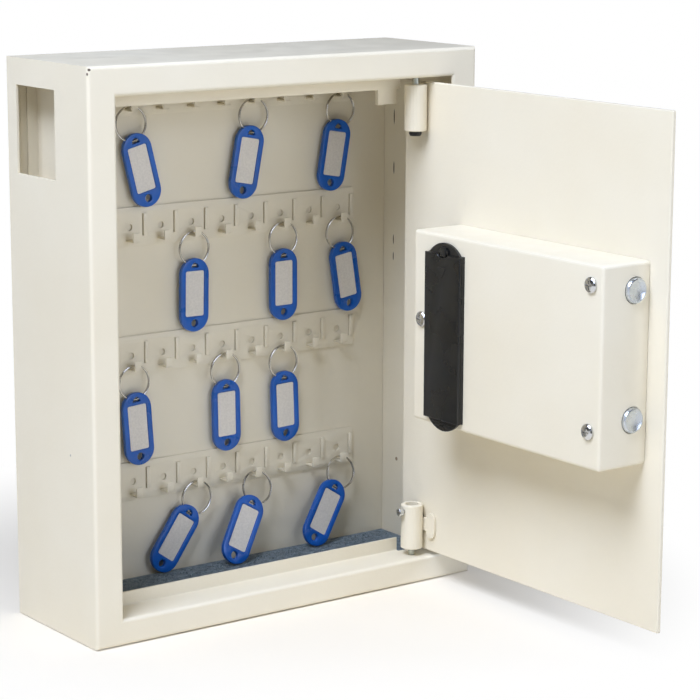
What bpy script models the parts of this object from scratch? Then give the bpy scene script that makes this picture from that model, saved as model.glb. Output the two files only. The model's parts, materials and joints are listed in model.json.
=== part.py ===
"""Electronic key cabinet: a wall-hung sheet-steel box with four hook strips, a key-return slot,
a flush door on concealed pivots and a battery lock with two round bolts.

Units are metres and +Z is up. The origin is the centre of the back face, which hangs on the wall;
+Y points into the wall, so the cabinet's front is at -Y and its right side, with the hinges, at +X.
Everything on the door is drawn where it sits with the door shut, and the door's pivot turns it open.
"""
import math

import bmesh
import bpy
from mathutils import Matrix, Vector

# ---- driving dimensions -------------------------------------------------------------------------
WIDTH = 0.300
HEIGHT = 0.365
DEPTH = 0.100
SHEET = 0.0015                  # cabinet steel
GAP = 0.0003                    # between pieces that touch
FOLD_R = 0.0022                 # outside radius of a fold

BORDER_SIDE = 0.020             # visible frame round the door opening
BORDER_TOP = 0.019
BORDER_BOTTOM = 0.017
REVEAL = 0.025                  # from the front face back to the stop lip
STOP_LIP = 0.0090
LIP_CHAMFER = 0.005
TAB = (0.0155, 0.010, 0.003)    # width, drop and thickness of the tab behind the top lip
TAB_FROM_LIP_END = 0.0025

DOOR_SHEET = 0.003
DOOR_SIDE_GAP = 0.0015
DOOR_END_GAP = 0.0035
DOOR_OPEN = math.radians(90)    # the pose the model is drawn in

HINGE_INSET = 0.0225            # pivot line to the hinge edge of the opening
BARREL_R = 0.0076
BARREL_LENGTH = 0.031
BARREL_END_GAP = 0.0015         # barrel to the end of the door
FOOT = (0.0045, 0.018, 0.0016)  # half-width, height and thickness of the lower barrel's weld foot
FOOT_REACH = 0.0125             # middle of the foot to the pivot line
FOOT_RISE = 0.008               # foot above the lower end of the barrel
PIN_R = 0.0022
PIN_CLEARANCE = 0.0004
PIN_HEAD_R = 0.0042
PIN_HEAD = 0.002
PIN_DEPTH = 0.017               # engaged in the barrel
COUNTERBORE_R = 0.0046
COUNTERBORE = 0.009

SLOT_DEPTH = 0.048              # key-return slot in the left wall, front to back
SLOT_HEIGHT = 0.056
SLOT_FROM_BACK = 0.0115
SLOT_FROM_TOP = 0.017
BAFFLE_OFFSET = 0.0205          # baffle plate to the outside of the left wall
BAFFLE_MARGIN = 0.008

FIXING_HOLE_R = 0.004
FIXING_SPAN_X = 0.197           # wall fixing holes, between centres
FIXING_SPAN_Z = 0.236
FIXING_BOTTOM = 0.046           # lower pair above the cabinet's base

ROWS = 4
HOOKS = 10
HOOK_PITCH = 0.0242
STRIP_CENTRE_X = -0.003
STRIP_HEIGHT = 0.026
STRIP_SHEET = 0.001
ROW_PITCH = 0.0863
BOTTOM_ROW = 0.0635             # lower edge of the lowest strip above the cabinet's base
STRIP_END = 0.0145              # beyond the last hook
HOOK_WIDTH = 0.005
HOOK_REACH = 0.008
HOOK_SHEET = 0.0012
HOOK_FINGER = 0.0055
HOOK_LIFT = 0.0035              # tongue above the strip's lower edge
HOOK_HOLE_R = 0.0025
CLIP_WIDTH = 0.003
CLIP_LENGTH = 0.015
CLIP_RAISE = 0.0011

MAT_THICKNESS = 0.008
MAT_MARGIN = 0.002

COVER_WIDTH = 0.182             # lock cover on the inside of the door
COVER_HEIGHT = 0.126
COVER_DEPTH = 0.038
COVER_SHEET = 0.0012
COVER_FROM_PIVOT = 0.0385
COVER_BOTTOM = 0.125            # above the cabinet's base
COVER_R = 0.002

BOLT_R = 0.008
BOLT_LENGTH = 0.042
BOLT_PROUD = 0.002              # out of the cover when drawn back
BOLT_THROW = 0.022
BOLT_CLEARANCE = 0.0005
BOLT_FROM_DOOR = 0.0117         # bolt line to the inside of the door
BOLT_HEIGHTS = (0.154, 0.234)
BAR_SHEET = 0.0025
BAR_CLEARANCE = 0.0018          # thrown bar to the cover's side wall

SPINDLE_X = -0.030
SPINDLE_Z = 0.160
SPINDLE_R = 0.004
SPINDLE_CLEARANCE = 0.0005
LEAD_HOLE_R = 0.004             # for the leads between the two sides of the door
LEAD_HOLE_RISE = 0.0945         # above the cover's lower edge
CRANK_SHEET = 0.003
CRANK_PIN_R = 0.0024
CRANK_HALF_TURN = math.radians(45)
CRANK_SLACK = 0.0009            # the pin turns through a straight slot

CHASSIS_SHEET = 0.002
CHASSIS_CLEARANCE = 0.0006      # round the battery tray
CHASSIS_LEG_R = 0.0025
SCREW_R = 0.0015
SCREW_HEAD_R = 0.0050
SCREW_HEAD = 0.0024
SCREW_LENGTH = 0.006

SOLENOID = (0.014, 0.0155)      # width and height of the coil housing
PLUNGER_R = 0.0026
PLUNGER_THROW = 0.005
PLUNGER_X = -0.014

CELL_R = 0.0070
CELL_LENGTH = 0.0495
CELL_TIP_R = 0.0027
CELL_TIP = 0.0012
CELL_SPACE = 0.0006
TRAY_FLOOR = 0.0014
TRAY_SIDE = 0.0031              # side walls
TRAY_END = 0.003                # end walls
TRAY_FROM_PIVOT = 0.0545
TRAY_RISE = 0.0595              # middle of the tray above the cover's lower edge
TRAY_PROUD = 0.0042             # lid above the cover's face
TRAY_LID = 0.0018
EAR_CHORD = 0.031
EAR_RISE = 0.0073
EAR_SHEET = 0.0016

PANEL_WIDTH = 0.078             # keypad housing outside
PANEL_HEIGHT = 0.122
PANEL_DEPTH = 0.014
PANEL_WALL = 0.002
PANEL_CENTRE_Z = 0.188
KEY_SIZE = (0.0125, 0.0095)
KEY_PITCH = (0.0175, 0.0140)
KEY_COLUMNS = 3
KEY_LINES = 4
KEY_TOP_Z = 0.2355              # centre of the top line of keys
KEY_PROUD = 0.0018
KEY_FLANGE = 0.001
KEY_TRAVEL = 0.001
KEY_DEPTH = 0.006
BOARD_SHEET = 0.0016
BOARD_STAND = 0.0035            # board above the door
KNOB_R = 0.0165
KNOB_DISC = 0.006
KNOB_GRIP = (0.0100, 0.030, 0.013)
KNOB_SOCKET = 0.006
PLUG_R = 0.0055
PLUG_OFFSET = 0.0275            # emergency lock beside the knob
PLUG_LENGTH = 0.013

RING_R = 0.0115                 # key ring, middle of the wire
RING_WIRE = 0.0010
TAG_LENGTH = 0.050
TAG_WIDTH = 0.022
TAG_THICKNESS = 0.0034
TAG_EYE = (0.008, 0.0035)
TAG_EYE_FROM_END = 0.003
TAG_OUT = 0.0034                # ring in front of the strip
# strip, counted from the top, hook, counted from the left, and sideways tilt of each tag in degrees
TAG_PLACES = ((0, 2, -14), (0, 6, 11), (0, 9, 10),
              (1, 4, 1), (1, 7, 0), (1, 9, -9),
              (2, 2, -4), (2, 5, -1), (2, 7, -2),
              (3, 4, 36), (3, 6, 32), (3, 9, 34))

ROUND = 24                      # sides of a large round piece
SMALL_ROUND = 16
TINY_ROUND = 12

# ---- places worked out from the dimensions -----------------------------------------------------
LEFT = -WIDTH / 2
RIGHT = WIDTH / 2
BASE = -HEIGHT / 2
TOP = HEIGHT / 2
FRONT = -DEPTH
OPEN_LEFT = LEFT + BORDER_SIDE
OPEN_RIGHT = RIGHT - BORDER_SIDE
OPEN_BOTTOM = BASE + BORDER_BOTTOM
OPEN_TOP = TOP - BORDER_TOP
LIP_Y = FRONT + REVEAL
PANEL_Y = -SHEET                # front of the back panel

DOOR_INSIDE = FRONT + DOOR_SHEET
DOOR_LEFT = OPEN_LEFT + DOOR_SIDE_GAP
DOOR_RIGHT = OPEN_RIGHT - DOOR_SIDE_GAP
DOOR_BOTTOM = OPEN_BOTTOM + DOOR_END_GAP
DOOR_TOP = OPEN_TOP - DOOR_END_GAP
PIVOT_X = OPEN_RIGHT - HINGE_INSET
PIVOT_Y = DOOR_INSIDE + BARREL_R + GAP
PIVOT = Vector((PIVOT_X, PIVOT_Y, 0))
BORE_R = PIN_R + PIN_CLEARANCE
MAT_TOP = BASE + SHEET + GAP + MAT_THICKNESS
LIP_END = PIVOT_X - PIN_R       # the lip stops short of the door's hinge edge

COVER_RIGHT = PIVOT_X - COVER_FROM_PIVOT
COVER_LEFT = COVER_RIGHT - COVER_WIDTH
COVER_Z = BASE + COVER_BOTTOM
COVER_FACE = DOOR_INSIDE + COVER_DEPTH
BOLT_Y = DOOR_INSIDE + BOLT_FROM_DOOR
BOLT_Z = [BASE + height for height in BOLT_HEIGHTS]
BAR_Y = BOLT_Y + BOLT_R + GAP
BAR_LAP = BOLT_LENGTH - BOLT_PROUD - BOLT_THROW - COVER_SHEET - BAR_CLEARANCE
CRANK_R = BOLT_THROW / 2 / math.sin(CRANK_HALF_TURN)
SPINDLE = Vector((SPINDLE_X, 0, BASE + SPINDLE_Z))
CHASSIS_Y = COVER_FACE - COVER_SHEET - CHASSIS_SHEET - GAP
COVER_SCREWS = ((COVER_LEFT + 0.010, COVER_Z + 0.1135), (COVER_LEFT + 0.010, COVER_Z + 0.0235),
                (COVER_RIGHT - 0.009, COVER_Z + 0.068))
CELL_COLUMN = 2 * CELL_R + CELL_SPACE
CELL_LINE = CELL_LENGTH + CELL_TIP + CELL_SPACE
TRAY_INSIDE = Vector((2 * CELL_COLUMN + CELL_SPACE, 0, 2 * CELL_LINE + CELL_SPACE))
TRAY_SIZE = TRAY_INSIDE + 2 * Vector((TRAY_SIDE, 0, TRAY_END))
TRAY_MIDDLE = Vector((PIVOT_X - TRAY_FROM_PIVOT - TRAY_SIZE.x / 2, 0, COVER_Z + TRAY_RISE))
TRAY_RIM = COVER_FACE + TRAY_PROUD - TRAY_LID - GAP
TRAY_BACK = TRAY_RIM - CELL_COLUMN - TRAY_FLOOR


# ---- helpers ------------------------------------------------------------------------------------
def material(name, colour, roughness, metallic):
    """One Principled finish for one piece."""
    finish = bpy.data.materials.new(name)
    finish.use_nodes = True
    shader = finish.node_tree.nodes["Principled BSDF"]
    shader.inputs["Base Color"].default_value = (*colour, 1)
    shader.inputs["Roughness"].default_value = roughness
    shader.inputs["Metallic"].default_value = metallic
    return finish


IVORY = ((0.80, 0.78, 0.70), 0.45, 0.0)
BLACK = ((0.02, 0.02, 0.022), 0.45, 0.0)
BRIGHT = ((0.72, 0.73, 0.75), 0.2, 1.0)
ZINC = ((0.62, 0.62, 0.58), 0.4, 1.0)
FELT = ((0.16, 0.20, 0.27), 0.95, 0.0)
BLUE = ((0.02, 0.07, 0.45), 0.35, 0.0)
GREEN = ((0.03, 0.22, 0.09), 0.5, 0.0)
GREY = ((0.35, 0.36, 0.38), 0.5, 0.0)
WRAP = ((0.10, 0.28, 0.16), 0.35, 0.2)


def piece(name, bm, finish, origin=(0, 0, 0), parent=None, smooth=False):
    """Make a bmesh into a named object with its origin at the given point."""
    bmesh.ops.recalc_face_normals(bm, faces=bm.faces)
    mesh = bpy.data.meshes.new(name)
    bmesh.ops.translate(bm, verts=bm.verts, vec=-Vector(origin))
    bm.to_mesh(mesh)
    bm.free()
    if smooth:
        mesh.shade_smooth()
        mesh.set_sharp_from_angle(angle=math.radians(35))
    obj = bpy.data.objects.new(name, mesh)
    obj.location = origin
    bpy.context.scene.collection.objects.link(obj)
    obj.data.materials.append(material(name + "_finish", *finish))
    if parent:
        obj.parent = parent
        obj.matrix_parent_inverse = Matrix.Translation(-PIVOT)
    return obj


def on_door(name, bm, finish, origin=PIVOT, smooth=False):
    """A piece that is drawn with the door shut and turns with the door's pivot."""
    return piece(name, bm, finish, origin, door_pivot, smooth)


def add_box(bm, low, high):
    """An axis-aligned box between two corners."""
    low = Vector(low)
    high = Vector(high)
    place = Matrix.Translation((low + high) / 2) @ Matrix.Diagonal((*(high - low), 1))
    return bmesh.ops.create_cube(bm, size=1, matrix=place)["verts"]


def box(low, high, bevel=0.0, segments=2, edges=None):
    """A box in a bmesh of its own, with its edges rounded; edges picks which."""
    bm = bmesh.new()
    add_box(bm, low, high)
    if bevel:
        picked = [edge for edge in bm.edges if edges is None or edges(edge)]
        bmesh.ops.bevel(bm, geom=picked, offset=bevel, segments=segments, profile=0.5,
                        affect="EDGES", clamp_overlap=True)
    return bm


def along(axis):
    """Pick the edges that run along one axis, 0 to 2."""
    def test(edge):
        run = edge.verts[1].co - edge.verts[0].co
        return abs(run[axis]) > 0.99 * run.length
    return test


def rod_matrix(start, direction):
    """Local +Z along the direction, from the start point."""
    turn = Vector((0, 0, 1)).rotation_difference(Vector(direction)).to_matrix().to_4x4()
    return Matrix.Translation(start) @ turn


def add_rod(bm, start, direction, length, radius, sides=SMALL_ROUND):
    """A plain round rod from a start point along a direction."""
    place = rod_matrix(start, direction) @ Matrix.Translation((0, 0, length / 2))
    bmesh.ops.create_cone(bm, cap_ends=True, segments=sides, radius1=radius, radius2=radius,
                          depth=length, matrix=place)


def turned(profile, start, direction, sides=ROUND):
    """Spin a profile of (radius, height) points about the direction through start.

    A profile that starts and ends on the axis makes a solid piece; otherwise it is a closed ring."""
    solid = profile[0][0] == 0
    bm = bmesh.new()
    verts = [bm.verts.new((radius, 0, height)) for radius, height in profile]
    edges = [bm.edges.new(pair) for pair in zip(verts, verts[1:])]
    if not solid:
        edges.append(bm.edges.new((verts[-1], verts[0])))
    bmesh.ops.spin(bm, geom=verts + edges, cent=(0, 0, 0), axis=(0, 0, 1), angle=2 * math.pi,
                   steps=sides, use_merge=True)
    bmesh.ops.remove_doubles(bm, verts=bm.verts, dist=1e-6)
    bmesh.ops.transform(bm, matrix=rod_matrix(start, direction), verts=bm.verts)
    return bm


def cutter(name, bm, parent=None):
    """A tool shape that the build leaves out."""
    bmesh.ops.recalc_face_normals(bm, faces=bm.faces)
    mesh = bpy.data.meshes.new(name)
    bm.to_mesh(mesh)
    bm.free()
    obj = bpy.data.objects.new(name, mesh)
    obj.hide_render = True
    obj.display_type = "WIRE"
    bpy.context.scene.collection.objects.link(obj)
    if parent:
        obj.parent = parent
        obj.matrix_parent_inverse = Matrix.Translation(-PIVOT)
    return obj


def combine(obj, tool, operation="DIFFERENCE"):
    """Cut a tool shape out of an object, or weld it on."""
    step = obj.modifiers.new(tool.name, "BOOLEAN")
    step.operation = operation
    step.solver = "EXACT"
    step.object = tool


def arc(centre, radius, start, end, steps=4):
    """Points on an arc, angles in degrees."""
    points = []
    for step in range(steps + 1):
        angle = math.radians(start + (end - start) * step / steps)
        points.append((centre[0] + radius * math.cos(angle), centre[1] + radius * math.sin(angle)))
    return points


def extruded(outline, low, high):
    """An (x, z) outline drawn out from y = low to y = high."""
    bm = bmesh.new()
    face = bm.faces.new([bm.verts.new((x, low, z)) for x, z in outline])
    grown = bmesh.ops.extrude_face_region(bm, geom=[face])["geom"]
    moved = [item for item in grown if isinstance(item, bmesh.types.BMVert)]
    bmesh.ops.translate(bm, verts=moved, vec=(0, high - low, 0))
    return bm


# ---- cabinet shell ------------------------------------------------------------------------------
def frame_section():
    """The folded edge of the cabinet, as (on the border?, inward distance, y) points.

    It runs from the open back along the wall, over the front border, back along the reveal and
    inward along the stop lip, and returns one sheet thickness behind."""
    inner = FOLD_R - SHEET
    points = [(0, 0, 0)]
    points += [(0, x, y) for x, y in arc((FOLD_R, FRONT + FOLD_R), FOLD_R, 180, 270)]
    points += [(1, x, y) for x, y in arc((-FOLD_R, FRONT + FOLD_R), FOLD_R, 270, 360)]
    points += [(1, x, y) for x, y in arc((inner, LIP_Y - inner), inner, 180, 90, 3)]
    points += [(1, STOP_LIP, LIP_Y), (1, STOP_LIP, LIP_Y + SHEET)]
    points += [(1, x, y) for x, y in arc((inner, LIP_Y - inner), FOLD_R, 90, 180, 3)]
    points += [(1, x, y) for x, y in arc((-FOLD_R, FRONT + FOLD_R), inner, 360, 270, 3)]
    points += [(0, x, y) for x, y in arc((FOLD_R, FRONT + FOLD_R), inner, 270, 180, 3)]
    points += [(0, SHEET, 0)]
    return points


def make_shell():
    bm = bmesh.new()
    section = frame_section()
    corners = ((-1, -1, BORDER_BOTTOM), (1, -1, BORDER_BOTTOM), (1, 1, BORDER_TOP), (-1, 1, BORDER_TOP))
    loops = []
    for side_x, side_z, border_z in corners:
        loop = []
        for on_border, inward, y in section:
            x = side_x * (WIDTH / 2 - on_border * BORDER_SIDE - inward)
            z = side_z * (HEIGHT / 2 - on_border * border_z - inward)
            loop.append(bm.verts.new((x, y, z)))
        loops.append(loop)
    count = len(section)
    for here, there in zip(loops, loops[1:] + loops[:1]):
        for i in range(count):
            j = (i + 1) % count
            bm.faces.new((here[i], here[j], there[j], there[i]))
    shell = piece("cabinet_shell", bm, IVORY)

    slot = bmesh.new()
    slot_back = -SLOT_FROM_BACK
    add_box(slot, (LEFT - 0.01, slot_back - SLOT_DEPTH, TOP - SLOT_FROM_TOP - SLOT_HEIGHT),
            (LEFT + 0.01, slot_back, TOP - SLOT_FROM_TOP))
    combine(shell, cutter("slot_cutter", slot))

    bores = bmesh.new()
    for height in BOLT_Z:
        start = (OPEN_LEFT - 0.005, BOLT_Y, height)
        add_rod(bores, start, (1, 0, 0), 0.01, BOLT_R + BOLT_CLEARANCE, ROUND)
    for height in (OPEN_BOTTOM, OPEN_TOP):
        add_rod(bores, (PIVOT_X, PIVOT_Y, height - 0.005), (0, 0, 1), 0.01, BORE_R)
    combine(shell, cutter("bore_cutter", bores))

    # a small gusset closes the lip in the two corners away from the hinges
    for name, edge_z, side in (("lower", OPEN_BOTTOM, 1), ("upper", OPEN_TOP, -1)):
        x = OPEN_LEFT + STOP_LIP
        z = edge_z + side * STOP_LIP
        lap = SHEET
        outline = [(x - lap, z - side * lap), (x + LIP_CHAMFER, z - side * lap), (x + LIP_CHAMFER, z),
                   (x, z + side * LIP_CHAMFER), (x - lap, z + side * LIP_CHAMFER)]
        combine(shell, cutter(name + "_gusset", extruded(outline, LIP_Y, LIP_Y + SHEET)), "UNION")

    # a small tab welded behind the top lip, next to the upper hinge
    width, drop, thickness = TAB
    tab_right = LIP_END - TAB_FROM_LIP_END
    lip_edge = OPEN_TOP - STOP_LIP
    tab = box((tab_right - width, LIP_Y + SHEET / 2, lip_edge - drop),
              (tab_right, LIP_Y + SHEET / 2 + thickness, lip_edge + STOP_LIP / 2))
    combine(shell, cutter("lip_tab", tab), "UNION")

    # the hinge side has no reveal and no lip, so that the door's hinge edge can swing in
    relief = bmesh.new()
    add_box(relief, (LIP_END, FRONT + SHEET, OPEN_BOTTOM + GAP),
            (OPEN_RIGHT + STOP_LIP, LIP_Y + 0.005, OPEN_TOP - GAP))
    combine(shell, cutter("relief_cutter", relief))
    notch = bmesh.new()
    for low, high in ((OPEN_BOTTOM - 0.005, OPEN_BOTTOM + STOP_LIP), (OPEN_TOP - STOP_LIP, OPEN_TOP + 0.005)):
        add_box(notch, (LIP_END, LIP_Y - FOLD_R, low), (OPEN_RIGHT + STOP_LIP, LIP_Y + 0.005, high))
    combine(shell, cutter("notch_cutter", notch))
    return shell


def make_back_panel():
    """The back is a flat plate welded inside the folded wall, with four wall fixing holes."""
    inset = SHEET + GAP
    plate = box((LEFT + inset, PANEL_Y, BASE + inset), (RIGHT - inset, 0, TOP - inset))
    panel = piece("back_panel", plate, IVORY)
    holes = bmesh.new()
    for side_x in (-1, 1):
        for height in (FIXING_BOTTOM, FIXING_BOTTOM + FIXING_SPAN_Z):
            start = (side_x * FIXING_SPAN_X / 2, PANEL_Y - 0.005, BASE + height)
            add_rod(holes, start, (0, 1, 0), 0.01, FIXING_HOLE_R, ROUND)
    combine(panel, cutter("fixing_cutter", holes))


def make_baffle():
    """A plate behind the return slot keeps fingers off the hooks, with a tab welded to the back."""
    top = TOP - SLOT_FROM_TOP + BAFFLE_MARGIN
    bottom = TOP - SLOT_FROM_TOP - SLOT_HEIGHT - BAFFLE_MARGIN
    x = LEFT + BAFFLE_OFFSET
    back = PANEL_Y - GAP
    front = -SLOT_FROM_BACK - SLOT_DEPTH - BAFFLE_MARGIN / 2
    outline = [(x, back), (x - BAFFLE_MARGIN, back), (x - BAFFLE_MARGIN, back - STRIP_SHEET),
               (x - STRIP_SHEET, back - STRIP_SHEET), (x - STRIP_SHEET, front), (x, front)]
    bm = bmesh.new()
    face = bm.faces.new([bm.verts.new((px, py, bottom)) for px, py in outline])
    grown = bmesh.ops.extrude_face_region(bm, geom=[face])["geom"]
    moved = [item for item in grown if isinstance(item, bmesh.types.BMVert)]
    bmesh.ops.translate(bm, verts=moved, vec=(0, 0, top - bottom))
    piece("drop_baffle", bm, IVORY)


def make_mat():
    margin = SHEET + MAT_MARGIN
    low = (LEFT + margin, LIP_Y + SHEET + MAT_MARGIN, MAT_TOP - MAT_THICKNESS)
    high = (RIGHT - margin, PANEL_Y - MAT_MARGIN, MAT_TOP)
    piece("floor_mat", box(low, high, 0.001, 1), FELT)


# ---- hook strips --------------------------------------------------------------------------------
def hook_x(index):
    return STRIP_CENTRE_X + (index - (HOOKS - 1) / 2) * HOOK_PITCH


def strip_bottom(row):
    """Lower edge of a strip, counted from the top of the cabinet."""
    return BASE + BOTTOM_ROW + (ROWS - 1 - row) * ROW_PITCH


STRIP_FACE = PANEL_Y - GAP - STRIP_SHEET
STRIP_LEFT = hook_x(0) - STRIP_END
STRIP_RIGHT = hook_x(HOOKS - 1) + STRIP_END


def draw_out(bm, picked, step):
    """Extrude faces and move the new end by a step."""
    grown = bmesh.ops.extrude_face_region(bm, geom=picked)["geom"]
    verts = [item for item in grown if isinstance(item, bmesh.types.BMVert)]
    bmesh.ops.translate(bm, verts=verts, vec=step)
    bmesh.ops.delete(bm, geom=picked, context="FACES_ONLY")
    return [item for item in grown if isinstance(item, bmesh.types.BMFace)]


def make_strip(row):
    """A steel strip with a hook, a hole for its number and a label clip for each key."""
    low = strip_bottom(row)
    tongue = (low + HOOK_LIFT, low + HOOK_LIFT + HOOK_SHEET)
    middle = low + STRIP_HEIGHT / 2
    clip = (middle - CLIP_LENGTH / 2 + 0.001, middle + CLIP_LENGTH / 2 + 0.001)
    bm = bmesh.new()
    add_box(bm, (STRIP_LEFT, STRIP_FACE, low), (STRIP_RIGHT, PANEL_Y - GAP, low + STRIP_HEIGHT))
    cuts = []
    for index in range(HOOKS):
        x = hook_x(index)
        cuts += [(x - HOOK_WIDTH / 2, 0), (x + HOOK_WIDTH / 2, 0)]
        cuts += [(x + HOOK_PITCH / 2 - CLIP_WIDTH / 2, 0), (x + HOOK_PITCH / 2 + CLIP_WIDTH / 2, 0)]
    cuts += [(height, 2) for height in (*tongue, *clip)]
    for place, axis in cuts:
        normal = [0, 0, 0]
        normal[axis] = 1
        point = [0, 0, 0]
        point[axis] = place
        bmesh.ops.bisect_plane(bm, geom=bm.verts[:] + bm.edges[:] + bm.faces[:], plane_co=point,
                               plane_no=normal, dist=1e-7)

    def lies_along_front(edge):
        """The level cuts in the front stay, because a face can't have a hook standing out of it."""
        ends = [vert.co for vert in edge.verts]
        return all(abs(end.y - STRIP_FACE) < 1e-6 for end in ends) and abs(ends[0].z - ends[1].z) < 1e-6

    def front_face(x, z):
        """The cell of the strip's front that holds a point."""
        for face in bm.faces:
            centre = face.calc_center_median()
            xs = [vert.co.x for vert in face.verts]
            zs = [vert.co.z for vert in face.verts]
            if abs(centre.y - STRIP_FACE) < 1e-6 and min(xs) < x < max(xs) and min(zs) < z < max(zs):
                return face

    for index in range(HOOKS):
        x = hook_x(index)
        tip = draw_out(bm, [front_face(x, sum(tongue) / 2)], (0, -HOOK_REACH, 0))
        end = draw_out(bm, tip, (0, -HOOK_SHEET, 0))[0]
        shelf_y = STRIP_FACE - HOOK_REACH - HOOK_SHEET / 2
        for face in bm.faces:
            centre = face.calc_center_median()
            on_shelf = abs(centre.y - shelf_y) < 1e-6 and abs(centre.z - tongue[1]) < 1e-6
            if on_shelf and abs(centre.x - x) < 1e-4:
                finger = face
        neck = draw_out(bm, [finger], (0, 0, HOOK_FINGER * 0.6))
        crown = draw_out(bm, neck, (0, 0, HOOK_FINGER * 0.4))[0]
        bmesh.ops.scale(bm, verts=crown.verts, vec=(0.5, 1, 1),
                        space=Matrix.Translation(-crown.calc_center_median()))
        clip_x = x + HOOK_PITCH / 2
        draw_out(bm, [front_face(clip_x, sum(clip) / 2)], (0, -CLIP_RAISE, 0))
    bm.normal_update()
    flush = [edge for edge in bm.edges if edge.calc_face_angle(1) < 0.01 and not lies_along_front(edge)]
    bmesh.ops.dissolve_edges(bm, edges=flush, use_verts=True)
    strip = piece(f"hook_strip_{row + 1}", bm, IVORY)
    holes = bmesh.new()
    hole_z = tongue[1] + HOOK_FINGER + HOOK_HOLE_R
    for index in range(HOOKS):
        start = (hook_x(index), STRIP_FACE - 0.001, hole_z)
        add_rod(holes, start, (0, 1, 0), STRIP_SHEET + 0.001 - GAP, HOOK_HOLE_R, TINY_ROUND)
    combine(strip, cutter(f"hole_cutter_{row + 1}", holes))


# ---- hinges -------------------------------------------------------------------------------------
def weld_foot(low):
    """An oval foot between the barrel and the door, which the weld runs round."""
    half_width, height, thickness = FOOT
    middle = PIVOT_X - FOOT_REACH
    outline = [(middle + x, low + height - half_width + z) for x, z in arc((0, 0), half_width, 0, 180, 6)]
    outline += [(middle + x, low + half_width + z) for x, z in arc((0, 0), half_width, 180, 360, 6)]
    neck_x = PIVOT_X - BARREL_R / 2
    outline += [(neck_x, low + half_width), (neck_x, low + height - half_width)]
    return extruded(outline, DOOR_INSIDE + GAP, DOOR_INSIDE + GAP + thickness)


def make_hinges():
    """Two pins through the cabinet's reveals carry two barrels welded inside the door."""
    pin_length = SHEET + DOOR_END_GAP + BARREL_END_GAP + PIN_DEPTH + GAP
    pin = [(0, 0), (PIN_HEAD_R, 0), (PIN_HEAD_R, PIN_HEAD), (PIN_R, PIN_HEAD),
           (PIN_R, PIN_HEAD + pin_length - PIN_R / 2), (PIN_R / 2, PIN_HEAD + pin_length),
           (0, PIN_HEAD + pin_length)]
    edge = 0.0006
    top_of_bore = BARREL_LENGTH - COUNTERBORE
    barrel = [(BORE_R, 0), (BARREL_R - edge, 0), (BARREL_R, edge), (BARREL_R, BARREL_LENGTH - edge),
              (BARREL_R - edge, BARREL_LENGTH), (COUNTERBORE_R, BARREL_LENGTH),
              (COUNTERBORE_R, top_of_bore), (BORE_R, top_of_bore)]
    ends = (("lower", OPEN_BOTTOM, 1), ("upper", OPEN_TOP, -1))
    for name, edge_z, side in ends:
        head = (PIVOT_X, PIVOT_Y, edge_z - side * (SHEET + GAP + PIN_HEAD))
        piece(name + "_hinge_pin", turned(pin, head, (0, 0, side), SMALL_ROUND), ZINC, head, smooth=True)
        foot = (PIVOT_X, PIVOT_Y, edge_z + side * (DOOR_END_GAP + BARREL_END_GAP))
        tube = on_door(name + "_barrel", turned(barrel, foot, (0, 0, side)), IVORY, PIVOT, smooth=True)
        if side > 0:
            combine(tube, cutter("weld_foot", weld_foot(foot[2] + FOOT_RISE), door_pivot), "UNION")
            screw_z = foot[2] + BARREL_LENGTH - COUNTERBORE / 2
            hole = bmesh.new()
            hole_start = (PIVOT_X, PIVOT_Y + BORE_R, screw_z)
            add_rod(hole, hole_start, (0, 1, 0), BARREL_R, SCREW_R + GAP, TINY_ROUND)
            combine(tube, cutter("barrel_screw_cutter", hole, door_pivot))
        else:
            plug = [(0, 0), (COUNTERBORE_R - GAP, 0), (COUNTERBORE_R - GAP, COUNTERBORE - GAP + 0.002),
                    (COUNTERBORE_R - 0.001, COUNTERBORE + 0.003), (0, COUNTERBORE + 0.003)]
            plug_foot = (PIVOT_X, PIVOT_Y, foot[2] + side * (top_of_bore + GAP))
            stopper = turned(plug, plug_foot, (0, 0, side), SMALL_ROUND)
            on_door("hinge_plug", stopper, BLACK, PIVOT, smooth=True)
    head_r = SCREW_R * 1.8
    shank = BARREL_R - COUNTERBORE_R + 0.001
    shape = [(0, 0), (SCREW_R, 0), (SCREW_R, shank), (head_r, shank), (head_r, shank + 0.0025),
             (head_r - 0.0005, shank + 0.003), (0, shank + 0.003)]
    start = (PIVOT_X, PIVOT_Y + COUNTERBORE_R + GAP, screw_z)
    screw = on_door("barrel_screw", turned(shape, start, (0, 1, 0), SMALL_ROUND), BRIGHT, PIVOT, smooth=True)
    slot = bmesh.new()
    slot_y = start[1] + shank + 0.002
    add_box(slot, (PIVOT_X - head_r, slot_y, screw_z - 0.0004),
            (PIVOT_X + head_r, slot_y + 0.002, screw_z + 0.0004))
    combine(screw, cutter("slot_of_barrel_screw", slot, door_pivot))


# ---- door ---------------------------------------------------------------------------------------
def make_door_panel():
    """A flat plate, with holes for the knob's spindle and for the battery lead."""
    bm = box((DOOR_LEFT, FRONT, DOOR_BOTTOM), (DOOR_RIGHT, DOOR_INSIDE, DOOR_TOP), 0.0006, 1)
    panel = on_door("door_panel", bm, IVORY)
    holes = bmesh.new()
    hole_length = DOOR_SHEET + 0.01
    start_y = FRONT - 0.005
    add_rod(holes, (SPINDLE.x, start_y, SPINDLE.z), (0, 1, 0), hole_length,
            SPINDLE_R + SPINDLE_CLEARANCE, ROUND)
    add_rod(holes, (SPINDLE.x, start_y, COVER_Z + LEAD_HOLE_RISE), (0, 1, 0), hole_length,
            LEAD_HOLE_R, ROUND)
    combine(panel, cutter("door_cutter", holes, door_pivot))


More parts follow.
